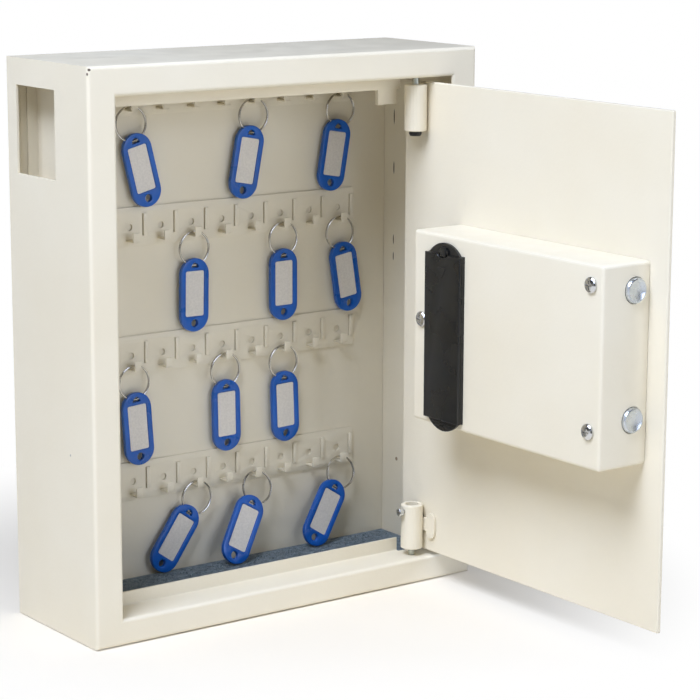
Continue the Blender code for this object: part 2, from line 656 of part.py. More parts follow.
def make_lock_cover():
    """A folded steel box screwed over the lock, open towards the door."""
    outer = box((COVER_LEFT, DOOR_INSIDE + GAP, COVER_Z), (COVER_RIGHT, COVER_FACE, COVER_Z + COVER_HEIGHT))
    middle = DOOR_INSIDE + COVER_DEPTH / 2
    rounded = [edge for edge in outer.edges if max(vert.co.y for vert in edge.verts) > middle]
    bmesh.ops.bevel(outer, geom=rounded, offset=COVER_R, segments=3, profile=0.5, affect="EDGES")
    cover = on_door("lock_cover", outer, IVORY)
    inside = bmesh.new()
    wall = COVER_SHEET
    add_box(inside, (COVER_LEFT + wall, DOOR_INSIDE - 0.005, COVER_Z + wall),
            (COVER_RIGHT - wall, COVER_FACE - wall, COVER_Z + COVER_HEIGHT - wall))
    combine(cover, cutter("cover_cavity", inside, door_pivot))
    holes = bmesh.new()
    for height in BOLT_Z:
        start = (COVER_LEFT - 0.003, BOLT_Y, height)
        add_rod(holes, start, (1, 0, 0), 0.006, BOLT_R + BOLT_CLEARANCE, ROUND)
    for x, z in COVER_SCREWS:
        add_rod(holes, (x, COVER_FACE - 0.003, z), (0, 1, 0), 0.006, SCREW_R + GAP, TINY_ROUND)
    add_box(holes, tray_corner(-1, COVER_FACE - 0.003, GAP), tray_corner(1, COVER_FACE + 0.003, GAP))
    combine(cover, cutter("cover_holes", holes, door_pivot))


def make_chassis():
    """A plate behind the cover's face stands on four legs, carries the coil and takes the screws.

    A window in it lets the battery tray through."""
    inset = COVER_SHEET + 0.002
    bm = box((COVER_LEFT + inset, CHASSIS_Y, COVER_Z + inset),
             (COVER_RIGHT - inset, CHASSIS_Y + CHASSIS_SHEET, COVER_Z + COVER_HEIGHT - inset))
    chassis = on_door("lock_chassis", bm, ZINC)
    legs = bmesh.new()
    leg_inset = inset + CHASSIS_LEG_R + 0.002
    for x in (COVER_LEFT + COVER_WIDTH * 0.3, COVER_RIGHT - leg_inset):
        for z in (COVER_Z + leg_inset, COVER_Z + COVER_HEIGHT - leg_inset):
            start = (x, DOOR_INSIDE + GAP, z)
            length = CHASSIS_Y + CHASSIS_SHEET / 2 - start[1]
            add_rod(legs, start, (0, 1, 0), length, CHASSIS_LEG_R, TINY_ROUND)
    combine(chassis, cutter("chassis_legs", legs, door_pivot), "UNION")
    holes = bmesh.new()
    for x, z in COVER_SCREWS:
        start = (x, CHASSIS_Y - 0.001, z)
        add_rod(holes, start, (0, 1, 0), CHASSIS_SHEET + 0.003, SCREW_R + GAP, TINY_ROUND)
    add_box(holes, tray_corner(-1, CHASSIS_Y - 0.001, CHASSIS_CLEARANCE),
            tray_corner(1, CHASSIS_Y + CHASSIS_SHEET + 0.001, CHASSIS_CLEARANCE))
    combine(chassis, cutter("chassis_holes", holes, door_pivot))


def make_cover_screws():
    dome = arc((0, 0), 1, 0, 90, 3)
    shape = [(0, -SCREW_LENGTH), (SCREW_R, -SCREW_LENGTH), (SCREW_R, 0), (SCREW_HEAD_R, 0),
             (SCREW_HEAD_R, SCREW_HEAD * 0.4)]
    shape += [(SCREW_HEAD_R * x, SCREW_HEAD * (0.4 + 0.6 * y)) for x, y in dome[1:]]
    for index, (x, z) in enumerate(COVER_SCREWS):
        start = (x, COVER_FACE + GAP, z)
        name = f"cover_screw_{index + 1}"
        screw = on_door(name, turned(shape, start, (0, 1, 0), SMALL_ROUND), BRIGHT, start, smooth=True)
        cross = bmesh.new()
        half = SCREW_HEAD_R * 0.55
        width = 0.0005
        top = start[1] + SCREW_HEAD
        add_box(cross, (x - half, top - 0.0012, z - width), (x + half, top + 0.001, z + width))
        add_box(cross, (x - width, top - 0.0012, z - half), (x + width, top + 0.001, z + half))
        driver = cutter(f"driver_cutter_{index + 1}", cross, door_pivot)
        step = screw.modifiers.new("driver", "BOOLEAN")
        step.operation = "DIFFERENCE"
        step.solver = "EXACT"
        step.use_self = True
        step.object = driver


# ---- lock ---------------------------------------------------------------------------------------
def make_bolts():
    """Two round bolts on one slide bar, moved by a crank on the knob's spindle."""
    tip = COVER_LEFT - BOLT_PROUD
    chamfer = 0.001
    shape = [(0, 0), (BOLT_R - chamfer, 0), (BOLT_R, chamfer), (BOLT_R, BOLT_LENGTH), (0, BOLT_LENGTH)]
    for name, height in zip(("lower_bolt", "upper_bolt"), BOLT_Z):
        start = (tip, BOLT_Y, height)
        on_door(name, turned(shape, start, (1, 0, 0)), BRIGHT, start, smooth=True)

    left = tip + BOLT_LENGTH - BAR_LAP
    right = SPINDLE_X + CRANK_R + CRANK_PIN_R + 0.006
    low = BOLT_Z[0] - BOLT_R
    high = BOLT_Z[1] + BOLT_R / 2
    bar = on_door("bolt_bar", box((left, BAR_Y, low), (right, BAR_Y + BAR_SHEET, high)), ZINC,
                  (left, BAR_Y, low))
    # the crank pin's slot, a notch for the coil's plunger and a window that lightens the bar
    openings = bmesh.new()
    pin_x = SPINDLE_X + BOLT_THROW / 2
    half = CRANK_PIN_R + CRANK_SLACK
    crank_low = SPINDLE.z + CRANK_R * math.cos(CRANK_HALF_TURN) - half
    crank_high = SPINDLE.z + CRANK_R + half
    through = (BAR_Y - 0.002, BAR_Y + BAR_SHEET + 0.002)
    add_box(openings, (pin_x - half, through[0], crank_low), (pin_x + half, through[1], crank_high))
    notch = PLUNGER_R + 0.0015
    add_box(openings, (PLUNGER_X - notch, through[0], low - 0.001),
            (PLUNGER_X + notch, through[1], low + PLUNGER_THROW + 0.001))
    add_box(openings, (tip + BOLT_LENGTH + 0.004, through[0], crank_high + 0.012),
            (right - 0.010, through[1], high - 0.010))
    combine(bar, cutter("bar_cutter", openings, door_pivot))


def make_knob():
    """A disc with a grip bar outside, on a spindle that ends in the crank inside."""
    front = FRONT - GAP - PANEL_DEPTH
    seat = front - GAP
    disc = [(0, 0), (KNOB_R, 0), (KNOB_R, KNOB_DISC - 0.001), (KNOB_R - 0.001, KNOB_DISC), (0, KNOB_DISC)]
    start = (SPINDLE.x, seat, SPINDLE.z)
    knob = on_door("knob", turned(disc, start, (0, -1, 0)), BLACK, start, smooth=True)
    width, length, height = KNOB_GRIP
    grip = box((SPINDLE.x - width / 2, seat - KNOB_DISC - height, SPINDLE.z - length / 2),
               (SPINDLE.x + width / 2, seat - KNOB_DISC / 2, SPINDLE.z + length / 2), 0.002, 2)
    combine(knob, cutter("knob_grip", grip, door_pivot), "UNION")
    socket = bmesh.new()
    add_rod(socket, (SPINDLE.x, seat + 0.001, SPINDLE.z), (0, -1, 0), KNOB_SOCKET + 0.001, SPINDLE_R + GAP)
    combine(knob, cutter("knob_socket", socket, door_pivot))

    crank_y = BAR_Y - 0.0015
    shaft = bmesh.new()
    shaft_start = (SPINDLE.x, seat - KNOB_SOCKET + GAP, SPINDLE.z)
    add_rod(shaft, shaft_start, (0, 1, 0), crank_y - shaft_start[1], SPINDLE_R)
    spindle = on_door("spindle", shaft, ZINC, start, smooth=True)
    pin = Vector((SPINDLE_X + BOLT_THROW / 2, 0, SPINDLE.z + CRANK_R * math.cos(CRANK_HALF_TURN)))
    reach = Vector((pin.x - SPINDLE.x, 0, pin.z - SPINDLE.z))
    side = Vector((reach.z, 0, -reach.x)).normalized()
    wide = side * (SPINDLE_R + 0.002)
    narrow = side * (CRANK_PIN_R + 0.001)
    back = -reach.normalized() * (SPINDLE_R + 0.002)
    corners = [SPINDLE + back + wide * 0.5, SPINDLE + wide, pin + narrow, pin + reach.normalized() * 0.003,
               pin - narrow, SPINDLE - wide, SPINDLE + back - wide * 0.5]
    arm = extruded([(corner.x, corner.z) for corner in corners], crank_y - CRANK_SHEET, crank_y - GAP)
    combine(spindle, cutter("crank_arm", arm, door_pivot), "UNION")
    peg = bmesh.new()
    add_rod(peg, (pin.x, crank_y - CRANK_SHEET / 2, pin.z), (0, 1, 0),
            BAR_Y + BAR_SHEET - crank_y + CRANK_SHEET / 2 + 0.0008, CRANK_PIN_R, TINY_ROUND)
    combine(spindle, cutter("crank_pin", peg, door_pivot), "UNION")


def make_solenoid():
    """A coil under the bar pushes its plunger up into the bar's notch, or behind its end."""
    width, height = SOLENOID
    axis_y = BAR_Y + BAR_SHEET / 2
    bar_low = BOLT_Z[0] - BOLT_R
    top = bar_low - 0.002
    front = axis_y - width / 2
    body = on_door("solenoid", box((PLUNGER_X - width / 2, front, top - height),
                                   (PLUNGER_X + width / 2, CHASSIS_Y - GAP, top), 0.0005, 1), GREY)
    bore = bmesh.new()
    foot = Vector((PLUNGER_X, axis_y, top - height + 0.003))
    add_rod(bore, foot, (0, 0, 1), height, PLUNGER_R + GAP)
    combine(body, cutter("solenoid_bore", bore, door_pivot))
    foot.z += GAP
    shape = [(0, 0), (PLUNGER_R, 0), (PLUNGER_R, bar_low - GAP - foot.z - 0.0008),
             (PLUNGER_R - 0.0008, bar_low - GAP - foot.z), (0, bar_low - GAP - foot.z)]
    on_door("plunger", turned(shape, foot, (0, 0, 1), SMALL_ROUND), BRIGHT, foot, smooth=True)


# ---- battery case -------------------------------------------------------------------------------
def tray_corner(side, y, clearance=0.0):
    """A low (-1) or high (1) corner of the tray's outline at a given depth."""
    corner = TRAY_MIDDLE + side * (TRAY_SIZE / 2 + Vector((clearance, 0, clearance)))
    return corner.x, y, corner.z


def make_battery_case():
    """Four cells in a flat tray sunk through the cover's face, with a lid and two rounded ears."""
    floor = TRAY_BACK + TRAY_FLOOR
    body = box(tray_corner(-1, TRAY_BACK), tray_corner(1, TRAY_RIM), 0.001, 2, along(1))
    tray = on_door("battery_tray", body, BLACK)
    ear_radius = (EAR_CHORD ** 2 / 4 + EAR_RISE ** 2) / (2 * EAR_RISE)
    swing = math.degrees(math.asin(EAR_CHORD / 2 / ear_radius))
    ear_y = COVER_FACE + GAP
    for name, side in (("top", 1), ("bottom", -1)):
        apex = TRAY_MIDDLE.z + side * (TRAY_SIZE.z / 2 + EAR_RISE)
        middle = (TRAY_MIDDLE.x, apex - side * ear_radius)
        outline = arc(middle, ear_radius, side * 90 - swing, side * 90 + swing, 12)
        root = middle[1] + side * (ear_radius - EAR_RISE - TRAY_END / 2)
        outline += [(outline[-1][0], root), (outline[0][0], root)]
        ear = extruded(outline, ear_y, ear_y + EAR_SHEET)
        combine(tray, cutter(name + "_ear", ear, door_pivot), "UNION")
    cavity = bmesh.new()
    low = TRAY_MIDDLE - TRAY_INSIDE / 2
    high = TRAY_MIDDLE + TRAY_INSIDE / 2
    add_box(cavity, (low.x, floor, low.z), (high.x, TRAY_RIM + 0.005, high.z))
    combine(tray, cutter("tray_cavity", cavity, door_pivot))
    lid = box(tray_corner(-1, TRAY_RIM + GAP), tray_corner(1, TRAY_RIM + GAP + TRAY_LID), 0.0007, 2)
    on_door("battery_lid", lid, BLACK)
    body = CELL_LENGTH
    shape = [(0, 0), (CELL_R - 0.0005, 0), (CELL_R, 0.0005), (CELL_R, body - 0.0005),
             (CELL_R - 0.0005, body), (CELL_TIP_R, body), (CELL_TIP_R, body + CELL_TIP),
             (0, body + CELL_TIP)]
    number = 0
    for side_z in (-1, 1):
        for side_x in (-1, 1):
            number += 1
            up = side_x
            foot_z = TRAY_MIDDLE.z + side_z * CELL_LINE / 2 - up * (body + CELL_TIP) / 2
            start = (TRAY_MIDDLE.x + side_x * CELL_COLUMN / 2, floor + CELL_R + CELL_SPACE / 2, foot_z)
            cell = turned(shape, start, (0, 0, up), SMALL_ROUND)
            on_door(f"battery_cell_{number}", cell, WRAP, start, smooth=True)


# ---- keypad -------------------------------------------------------------------------------------
def key_place(index):
    """Centre of a key in the door's plane, in reading order from outside."""
    line, column = divmod(index, KEY_COLUMNS)
    x = SPINDLE_X + (column - (KEY_COLUMNS - 1) / 2) * KEY_PITCH[0]
    return x, BASE + KEY_TOP_Z - line * KEY_PITCH[1]


def make_keypad():
    """A moulded housing outside with twelve keys over a circuit board."""
    front = FRONT - GAP - PANEL_DEPTH
    back = FRONT - GAP
    middle_z = BASE + PANEL_CENTRE_Z
    low_x = SPINDLE_X - PANEL_WIDTH / 2
    high_x = SPINDLE_X + PANEL_WIDTH / 2
    low_z = middle_z - PANEL_HEIGHT / 2
    high_z = middle_z + PANEL_HEIGHT / 2
    shape = box((low_x, front, low_z), (high_x, back, high_z), 0.004, 3, along(1))
    housing = on_door("keypad_housing", shape, BLACK)
    inside = bmesh.new()
    wall = PANEL_WALL
    # the lower part stays solid round the knob and the emergency lock
    solid_top = SPINDLE.z + KNOB_R + 0.002
    add_box(inside, (low_x + wall, front + wall, solid_top), (high_x - wall, back + 0.005, high_z - wall))
    combine(housing, cutter("housing_cavity", inside, door_pivot))
    holes = bmesh.new()
    for index in range(KEY_COLUMNS * KEY_LINES):
        x, z = key_place(index)
        half_x = KEY_SIZE[0] / 2 + GAP
        half_z = KEY_SIZE[1] / 2 + GAP
        add_box(holes, (x - half_x, front - 0.005, z - half_z),
                (x + half_x, front + wall + 0.001, z + half_z))
    add_rod(holes, (SPINDLE.x, front - 0.005, SPINDLE.z), (0, 1, 0), PANEL_DEPTH + 0.01,
            SPINDLE_R + SPINDLE_CLEARANCE, ROUND)
    plug_x = SPINDLE_X + PLUG_OFFSET
    add_rod(holes, (plug_x, front - 0.005, SPINDLE.z), (0, 1, 0), PLUG_LENGTH + 0.005 + GAP,
            PLUG_R + GAP, ROUND)
    combine(housing, cutter("housing_holes", holes, door_pivot))

    for index in range(KEY_COLUMNS * KEY_LINES):
        x, z = key_place(index)
        half_x, half_z = (size / 2 for size in KEY_SIZE)
        cap = box((x - half_x, front - KEY_PROUD, z - half_z),
                  (x + half_x, front + KEY_DEPTH, z + half_z))
        edges = [edge for edge in cap.edges if max(vert.co.y for vert in edge.verts) < front]
        bmesh.ops.bevel(cap, geom=edges, offset=0.0008, segments=1, profile=0.5, affect="EDGES")
        rim = KEY_FLANGE
        seat = front + wall + GAP
        for level in (seat, seat + rim):
            bmesh.ops.bisect_plane(cap, geom=cap.verts[:] + cap.edges[:] + cap.faces[:],
                                   plane_co=(0, level, 0), plane_no=(0, 1, 0), dist=1e-7)
        band = [face for face in cap.faces if seat < face.calc_center_median().y < seat + rim
                and abs(face.normal.y) < 0.1]
        bmesh.ops.inset_region(cap, faces=band, thickness=0, depth=rim, use_even_offset=True)
        on_door(f"key_{index + 1}", cap, GREY, (x, front, z))

    board_back = back - BOARD_STAND
    board = box((low_x + wall + 0.001, board_back - BOARD_SHEET, solid_top + 0.001),
                (high_x - wall - 0.001, board_back, high_z - wall - 0.001))
    on_door("circuit_board", board, GREEN)

    plug = [(0, 0), (PLUG_R, 0), (PLUG_R, PLUG_LENGTH), (PLUG_R - 0.0005, PLUG_LENGTH + 0.001),
            (0, PLUG_LENGTH + 0.001)]
    start = (plug_x, front + PLUG_LENGTH, SPINDLE.z)
    lock = on_door("emergency_lock", turned(plug, start, (0, -1, 0), SMALL_ROUND), BRIGHT, start, smooth=True)
    keyway = bmesh.new()
    add_box(keyway, (plug_x - 0.0006, front - 0.002, SPINDLE.z - 0.003),
            (plug_x + 0.0006, front + 0.006, SPINDLE.z + 0.003))
    combine(lock, cutter("keyway_cutter", keyway, door_pivot))


# ---- key tags -----------------------------------------------------------------------------------
def make_tag(number, row, hook, tilt):
    """An oval tag with its ring, hung askew over a hook's tongue; the lowest ones lean on the mat."""
    low = strip_bottom(row)
    # the ring rests on the two edges of the flat tongue, so its middle stands a little higher
    bore = RING_R - RING_WIRE
    rise = bore - math.sqrt(bore ** 2 - (HOOK_WIDTH / 2) ** 2)
    rest_z = low + HOOK_LIFT + HOOK_SHEET + rise + 2 * GAP + RING_WIRE
    centre = Vector((hook_x(hook), STRIP_FACE - TAG_OUT, rest_z))
    ring_z = centre.z - RING_R
    half_x = TAG_WIDTH / 2
    straight = TAG_LENGTH / 2 - half_x
    top_z = ring_z - RING_R + TAG_EYE_FROM_END + TAG_EYE[1] / 2
    middle = (centre.x, top_z - TAG_LENGTH / 2)
    outline = [(middle[0] + x, middle[1] + z) for x, z in
               arc((0, straight), half_x, 0, 180, 6) + arc((0, -straight), half_x, 180, 360, 6)]
    half_y = TAG_THICKNESS / 2
    bm = extruded(outline, centre.y - half_y, centre.y + half_y)
    tag = piece(f"key_tag_{number}", bm, BLUE, centre)
    eye_z = top_z - TAG_EYE_FROM_END
    eye = box((centre.x - TAG_EYE[0] / 2, centre.y - 0.005, eye_z - TAG_EYE[1]),
              (centre.x + TAG_EYE[0] / 2, centre.y + 0.005, eye_z))
    tools = [(cutter(f"eye_cutter_{number}", eye), "DIFFERENCE")]
    ring = bmesh.new()
    profile = [ring.verts.new((centre.x + RING_R + x, centre.y + y, ring_z)) for x, y in
               arc((0, 0), RING_WIRE, 0, 270, 3)]
    edges = [ring.edges.new(pair) for pair in zip(profile, profile[1:] + profile[:1])]
    bmesh.ops.spin(ring, geom=profile + edges, cent=(centre.x, centre.y, ring_z), axis=(0, 1, 0),
                   angle=2 * math.pi, steps=SMALL_ROUND, use_merge=True)
    tools.append((cutter(f"ring_tool_{number}", ring), "UNION"))
    for tool, operation in tools:
        tool.data.transform(Matrix.Translation(-centre))
        tool.parent = tag
        combine(tag, tool, operation)
    # the tag hangs askew from the middle of its ring
    ring_middle = Matrix.Translation((0, 0, -RING_R))
    askew = ring_middle @ Matrix.Rotation(math.radians(tilt), 4, "Y") @ ring_middle.inverted()
    end_round = TAG_LENGTH - TAG_EYE_FROM_END - TAG_EYE[1] / 2 - half_x
    drop = RING_R + (RING_R + end_round) * math.cos(math.radians(tilt)) + half_x
    # where the mat is nearer than that, the tag leans out and stands on it
    room = centre.z - MAT_TOP - GAP
    reach = math.hypot(drop, half_y)
    lean = 0
    if room < reach:
        lean = -math.acos(room / reach) - math.atan(half_y / drop)
    tag.matrix_local = Matrix.Translation(centre) @ Matrix.Rotation(lean, 4, "X") @ askew


# ---- assembly -----------------------------------------------------------------------------------
for old in list(bpy.data.objects):
    bpy.data.objects.remove(old)

door_pivot = bpy.data.objects.new("door_pivot", None)
door_pivot.location = PIVOT
door_pivot.rotation_euler = (0, 0, DOOR_OPEN)
bpy.context.scene.collection.objects.link(door_pivot)

make_shell()
make_back_panel()
make_baffle()
make_mat()
for row in range(ROWS):
    make_strip(row)
make_hinges()
make_door_panel()
make_lock_cover()
make_chassis()
make_cover_screws()
make_bolts()
make_knob()
make_solenoid()
make_battery_case()
make_keypad()
for number, (row, hook, tilt) in enumerate(TAG_PLACES, 1):
    make_tag(number, row, hook, tilt)
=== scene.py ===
import json
import math
import random

import bmesh
import bpy
from mathutils import Matrix, Vector


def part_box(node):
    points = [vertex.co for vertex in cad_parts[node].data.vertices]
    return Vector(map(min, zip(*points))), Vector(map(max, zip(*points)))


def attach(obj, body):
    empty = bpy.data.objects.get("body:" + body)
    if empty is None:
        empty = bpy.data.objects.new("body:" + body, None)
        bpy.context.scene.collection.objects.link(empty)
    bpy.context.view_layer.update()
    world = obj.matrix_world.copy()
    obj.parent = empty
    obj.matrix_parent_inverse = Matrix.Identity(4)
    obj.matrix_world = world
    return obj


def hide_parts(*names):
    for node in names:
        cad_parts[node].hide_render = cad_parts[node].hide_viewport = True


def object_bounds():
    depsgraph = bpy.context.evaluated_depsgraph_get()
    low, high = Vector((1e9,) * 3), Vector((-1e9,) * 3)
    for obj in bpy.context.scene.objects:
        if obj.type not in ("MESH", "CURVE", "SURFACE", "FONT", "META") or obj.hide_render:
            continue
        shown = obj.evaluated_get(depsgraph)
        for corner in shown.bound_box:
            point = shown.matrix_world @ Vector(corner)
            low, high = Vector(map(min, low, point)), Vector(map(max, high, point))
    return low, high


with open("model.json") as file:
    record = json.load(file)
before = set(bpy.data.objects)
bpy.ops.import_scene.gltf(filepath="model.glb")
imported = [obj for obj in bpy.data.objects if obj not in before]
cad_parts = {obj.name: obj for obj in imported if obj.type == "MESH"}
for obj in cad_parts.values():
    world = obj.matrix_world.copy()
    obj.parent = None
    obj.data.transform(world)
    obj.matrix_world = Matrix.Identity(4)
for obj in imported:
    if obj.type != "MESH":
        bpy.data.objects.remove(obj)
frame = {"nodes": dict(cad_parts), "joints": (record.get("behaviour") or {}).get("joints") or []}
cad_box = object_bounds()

# ---- camera, light and floor --------------------------------------------------------------------
# The cabinet is seen from the front left and a little above, in a white light tent. The main soft
# lamp is high on the left, weaker ones stand in front, right and left, over a plain pale floor.
scene = bpy.context.scene
scene.view_settings.view_transform = "Standard"
low_corner = cad_box[0]

CAMERA_AZIMUTH = math.radians(-36.5)
CAMERA_ELEVATION = math.radians(11.4)
CAMERA_ROLL = math.radians(0.23)
CAMERA_DISTANCE = 1.718
CAMERA_TARGET = Vector((0.1199, 0, -0.0378))
SENSOR = 36.0
LENS = 124.0
camera_data = bpy.data.cameras.new("camera")
camera_data.sensor_width = SENSOR
camera_data.lens = LENS
camera_data.clip_start = 0.05
camera_data.clip_end = 30
camera = bpy.data.objects.new("camera", camera_data)
scene.collection.objects.link(camera)
backwards = Vector((math.sin(CAMERA_AZIMUTH) * math.cos(CAMERA_ELEVATION),
                    -math.cos(CAMERA_AZIMUTH) * math.cos(CAMERA_ELEVATION),
                    math.sin(CAMERA_ELEVATION)))
camera.location = CAMERA_TARGET + backwards * CAMERA_DISTANCE
aim = (-backwards).to_track_quat("-Z", "Y").to_matrix().to_4x4()
camera.rotation_euler = (aim @ Matrix.Rotation(CAMERA_ROLL, 4, "Z")).to_euler()
scene.camera = camera

# the tent is white to the camera and gives only a weak fill to the cabinet
WHITE = (1.0, 1.0, 1.0, 1)
FILL_STRENGTH = 0.06
world = bpy.data.worlds.new("white_tent")
world.use_nodes = True
sky = world.node_tree
fill = sky.nodes["Background"]
fill.inputs["Color"].default_value = WHITE
fill.inputs["Strength"].default_value = FILL_STRENGTH
tent = sky.nodes.new("ShaderNodeBackground")
tent.inputs["Color"].default_value = WHITE
tent.inputs["Strength"].default_value = 1.0
seen = sky.nodes.new("ShaderNodeLightPath")
either = sky.nodes.new("ShaderNodeMixShader")
sky.links.new(seen.outputs["Is Camera Ray"], either.inputs["Fac"])
sky.links.new(fill.outputs["Background"], either.inputs[1])
sky.links.new(tent.outputs["Background"], either.inputs[2])
sky.links.new(either.outputs["Shader"], sky.nodes["World Output"].inputs["Surface"])
scene.world = world

DAYLIGHT = (0.90, 1.0, 1.26)
# name, place, the point it faces, its side in metres, its power in watts
LAMPS = (("lamp_high_left", (-0.9, -0.5, 1.4), (0.05, -0.1, 0), 0.9, 35),
         ("lamp_front", (0.3, -2.0, 0.5), (0.0, -0.05, 0), 1.0, 9.5),
         ("lamp_right", (1.5, -1.2, 0.9), (0.1, -0.1, 0), 0.9, 9.5),
         ("lamp_left", (-1.7, -0.6, 0.4), (0.0, -0.05, 0), 1.0, 2))
for name, place, target, side, power in LAMPS:
    lamp = bpy.data.lights.new(name, "AREA")
    lamp.shape = "RECTANGLE"
    lamp.size = side
    lamp.size_y = side
    lamp.energy = power
    lamp.color = DAYLIGHT
    holder = bpy.data.objects.new(name, lamp)
    holder.location = place
    holder.rotation_euler = (Vector(target) - Vector(place)).to_track_quat("-Z", "Y").to_euler()
    scene.collection.objects.link(holder)

SHARP_ANGLE = math.radians(35)


def new_object(name, bm, smooth=True):
    """Make a bmesh into a linked object at the origin."""
    mesh = bpy.data.meshes.new(name)
    bm.to_mesh(mesh)
    bm.free()
    obj = bpy.data.objects.new(name, mesh)
    scene.collection.objects.link(obj)
    if smooth:
        mesh.shade_smooth()
        mesh.set_sharp_from_angle(angle=SHARP_ANGLE)
    return obj


def finish_of(name, colour, roughness, metallic=0.0):
    """A Principled material, with its nodes, links and shader to build on."""
    material = bpy.data.materials.new(name)
    material.use_nodes = True
    nodes = material.node_tree.nodes
    shader = nodes["Principled BSDF"]
    shader.inputs["Base Color"].default_value = (*colour, 1)
    shader.inputs["Roughness"].default_value = roughness
    shader.inputs["Metallic"].default_value = metallic
    return material, nodes, material.node_tree.links, shader


FLOOR_SIZE = 8
FLOOR_GAP = 0.0005
FADE_FROM = 0.20
FADE_TO = 0.40
floor_mesh = bmesh.new()
bmesh.ops.create_grid(floor_mesh, x_segments=1, y_segments=1, size=FLOOR_SIZE,
                      matrix=Matrix.Translation((0, 0, low_corner.z - FLOOR_GAP)))
floor = new_object("studio_floor", floor_mesh, smooth=False)
floor_finish, nodes, links, shader = finish_of("pale_floor", (0.88, 0.80, 0.65), 0.9)
# away from the cabinet the floor fades into the white of the tent, to the camera only
distance = nodes.new("ShaderNodeVectorMath")
distance.operation = "LENGTH"
links.new(nodes.new("ShaderNodeTexCoord").outputs["Object"], distance.inputs[0])
fade = nodes.new("ShaderNodeMapRange")
fade.interpolation_type = "SMOOTHSTEP"
fade.inputs["From Min"].default_value = FADE_FROM
fade.inputs["From Max"].default_value = FADE_TO
links.new(distance.outputs["Value"], fade.inputs["Value"])
eye = nodes.new("ShaderNodeLightPath")
amount = nodes.new("ShaderNodeMath")
amount.operation = "MULTIPLY"
links.new(fade.outputs["Result"], amount.inputs[0])
links.new(eye.outputs["Is Camera Ray"], amount.inputs[1])
glow = nodes.new("ShaderNodeEmission")
glow.inputs["Color"].default_value = WHITE
glow.inputs["Strength"].default_value = 1.0
fading = nodes.new("ShaderNodeMixShader")
links.new(amount.outputs["Value"], fading.inputs["Fac"])
links.new(shader.outputs["BSDF"], fading.inputs[1])
links.new(glow.outputs["Emission"], fading.inputs[2])
links.new(fading.outputs["Shader"], nodes["Material Output"].inputs["Surface"])
floor.data.materials.append(floor_finish)


# ---- folded cabinet -----------------------------------------------------------------------------
# The shell, the back panel and the return slot's baffle are sheet steel, folded, welded and then
# powder coated together. The coating is a warm ivory with a fine orange peel; it is thin and dark
# at the open corner of a fold, at the slits of the side wall and round a few weld spots.
PEEL_SCALE = 1100.0
PEEL_HEIGHT = 0.00007
SPOT_CORE = 0.7
IVORY = (0.82, 0.752, 0.59)
SEAM_BROWN = (0.10, 0.07, 0.045)
SLIT_DARK = (0.05, 0.035, 0.02)
SHELL_SHEET = 0.0015
SLIT_Y = -0.0125


def noise(nodes, links, coordinates, scale, detail, rough=0.5):
    texture = nodes.new("ShaderNodeTexNoise")
    texture.inputs["Scale"].default_value = scale
    texture.inputs["Detail"].default_value = detail
    texture.inputs["Roughness"].default_value = rough
    links.new(coordinates, texture.inputs["Vector"])
    return texture.outputs["Fac"]


def object_coordinates(nodes):
    return nodes.new("ShaderNodeTexCoord").outputs["Object"]


def ramp(nodes, links, value, low, high, dark, light):
    """Turn a value between low and high into a colour between dark and light."""
    steps = nodes.new("ShaderNodeValToRGB")
    steps.color_ramp.elements[0].position = low
    steps.color_ramp.elements[0].color = (*dark, 1)
    steps.color_ramp.elements[1].position = high
    steps.color_ramp.elements[1].color = (*light, 1)
    links.new(value, steps.inputs["Fac"])
    return steps.outputs["Color"]


def spread(nodes, links, value, low, high, start, end):
    """Map a value between low and high to start and end, clamped."""
    scaled = nodes.new("ShaderNodeMapRange")
    scaled.inputs["From Min"].default_value = low
    scaled.inputs["From Max"].default_value = high
    scaled.inputs["To Min"].default_value = start
    scaled.inputs["To Max"].default_value = end
    links.new(value, scaled.inputs["Value"])
    return scaled.outputs["Result"]


def blend_colour(nodes, links, factor, first, second):
    mixer = nodes.new("ShaderNodeMix")
    mixer.data_type = "RGBA"
    links.new(factor, mixer.inputs["Factor"])
    for value, socket in zip((first, second), (mixer.inputs[6], mixer.inputs[7])):
        if isinstance(value, tuple):
            socket.default_value = (*value, 1)
        else:
            links.new(value, socket)
    return mixer.outputs[2]


def bump(nodes, links, height, distance, strength, under=None):
    relief = nodes.new("ShaderNodeBump")
    relief.inputs["Distance"].default_value = distance
    relief.inputs["Strength"].default_value = strength
    links.new(height, relief.inputs["Height"])
    if under:
        links.new(under, relief.inputs["Normal"])
    return relief.outputs["Normal"]


def spot(nodes, links, place, centre, reach):
    """A soft mark, 1 in the middle of an ellipsoid and fading to 0 over the outer part of its reach."""
    offset = nodes.new("ShaderNodeVectorMath")
    offset.operation = "SUBTRACT"
    offset.inputs[1].default_value = centre
    links.new(place, offset.inputs[0])
    scaled = nodes.new("ShaderNodeVectorMath")
    scaled.operation = "DIVIDE"
    scaled.inputs[1].default_value = reach
    links.new(offset.outputs["Vector"], scaled.inputs[0])
    length = nodes.new("ShaderNodeVectorMath")
    length.operation = "LENGTH"
    links.new(scaled.outputs["Vector"], length.inputs[0])
    return spread(nodes, links, length.outputs["Value"], SPOT_CORE, 1.0, 1.0, 0.0)


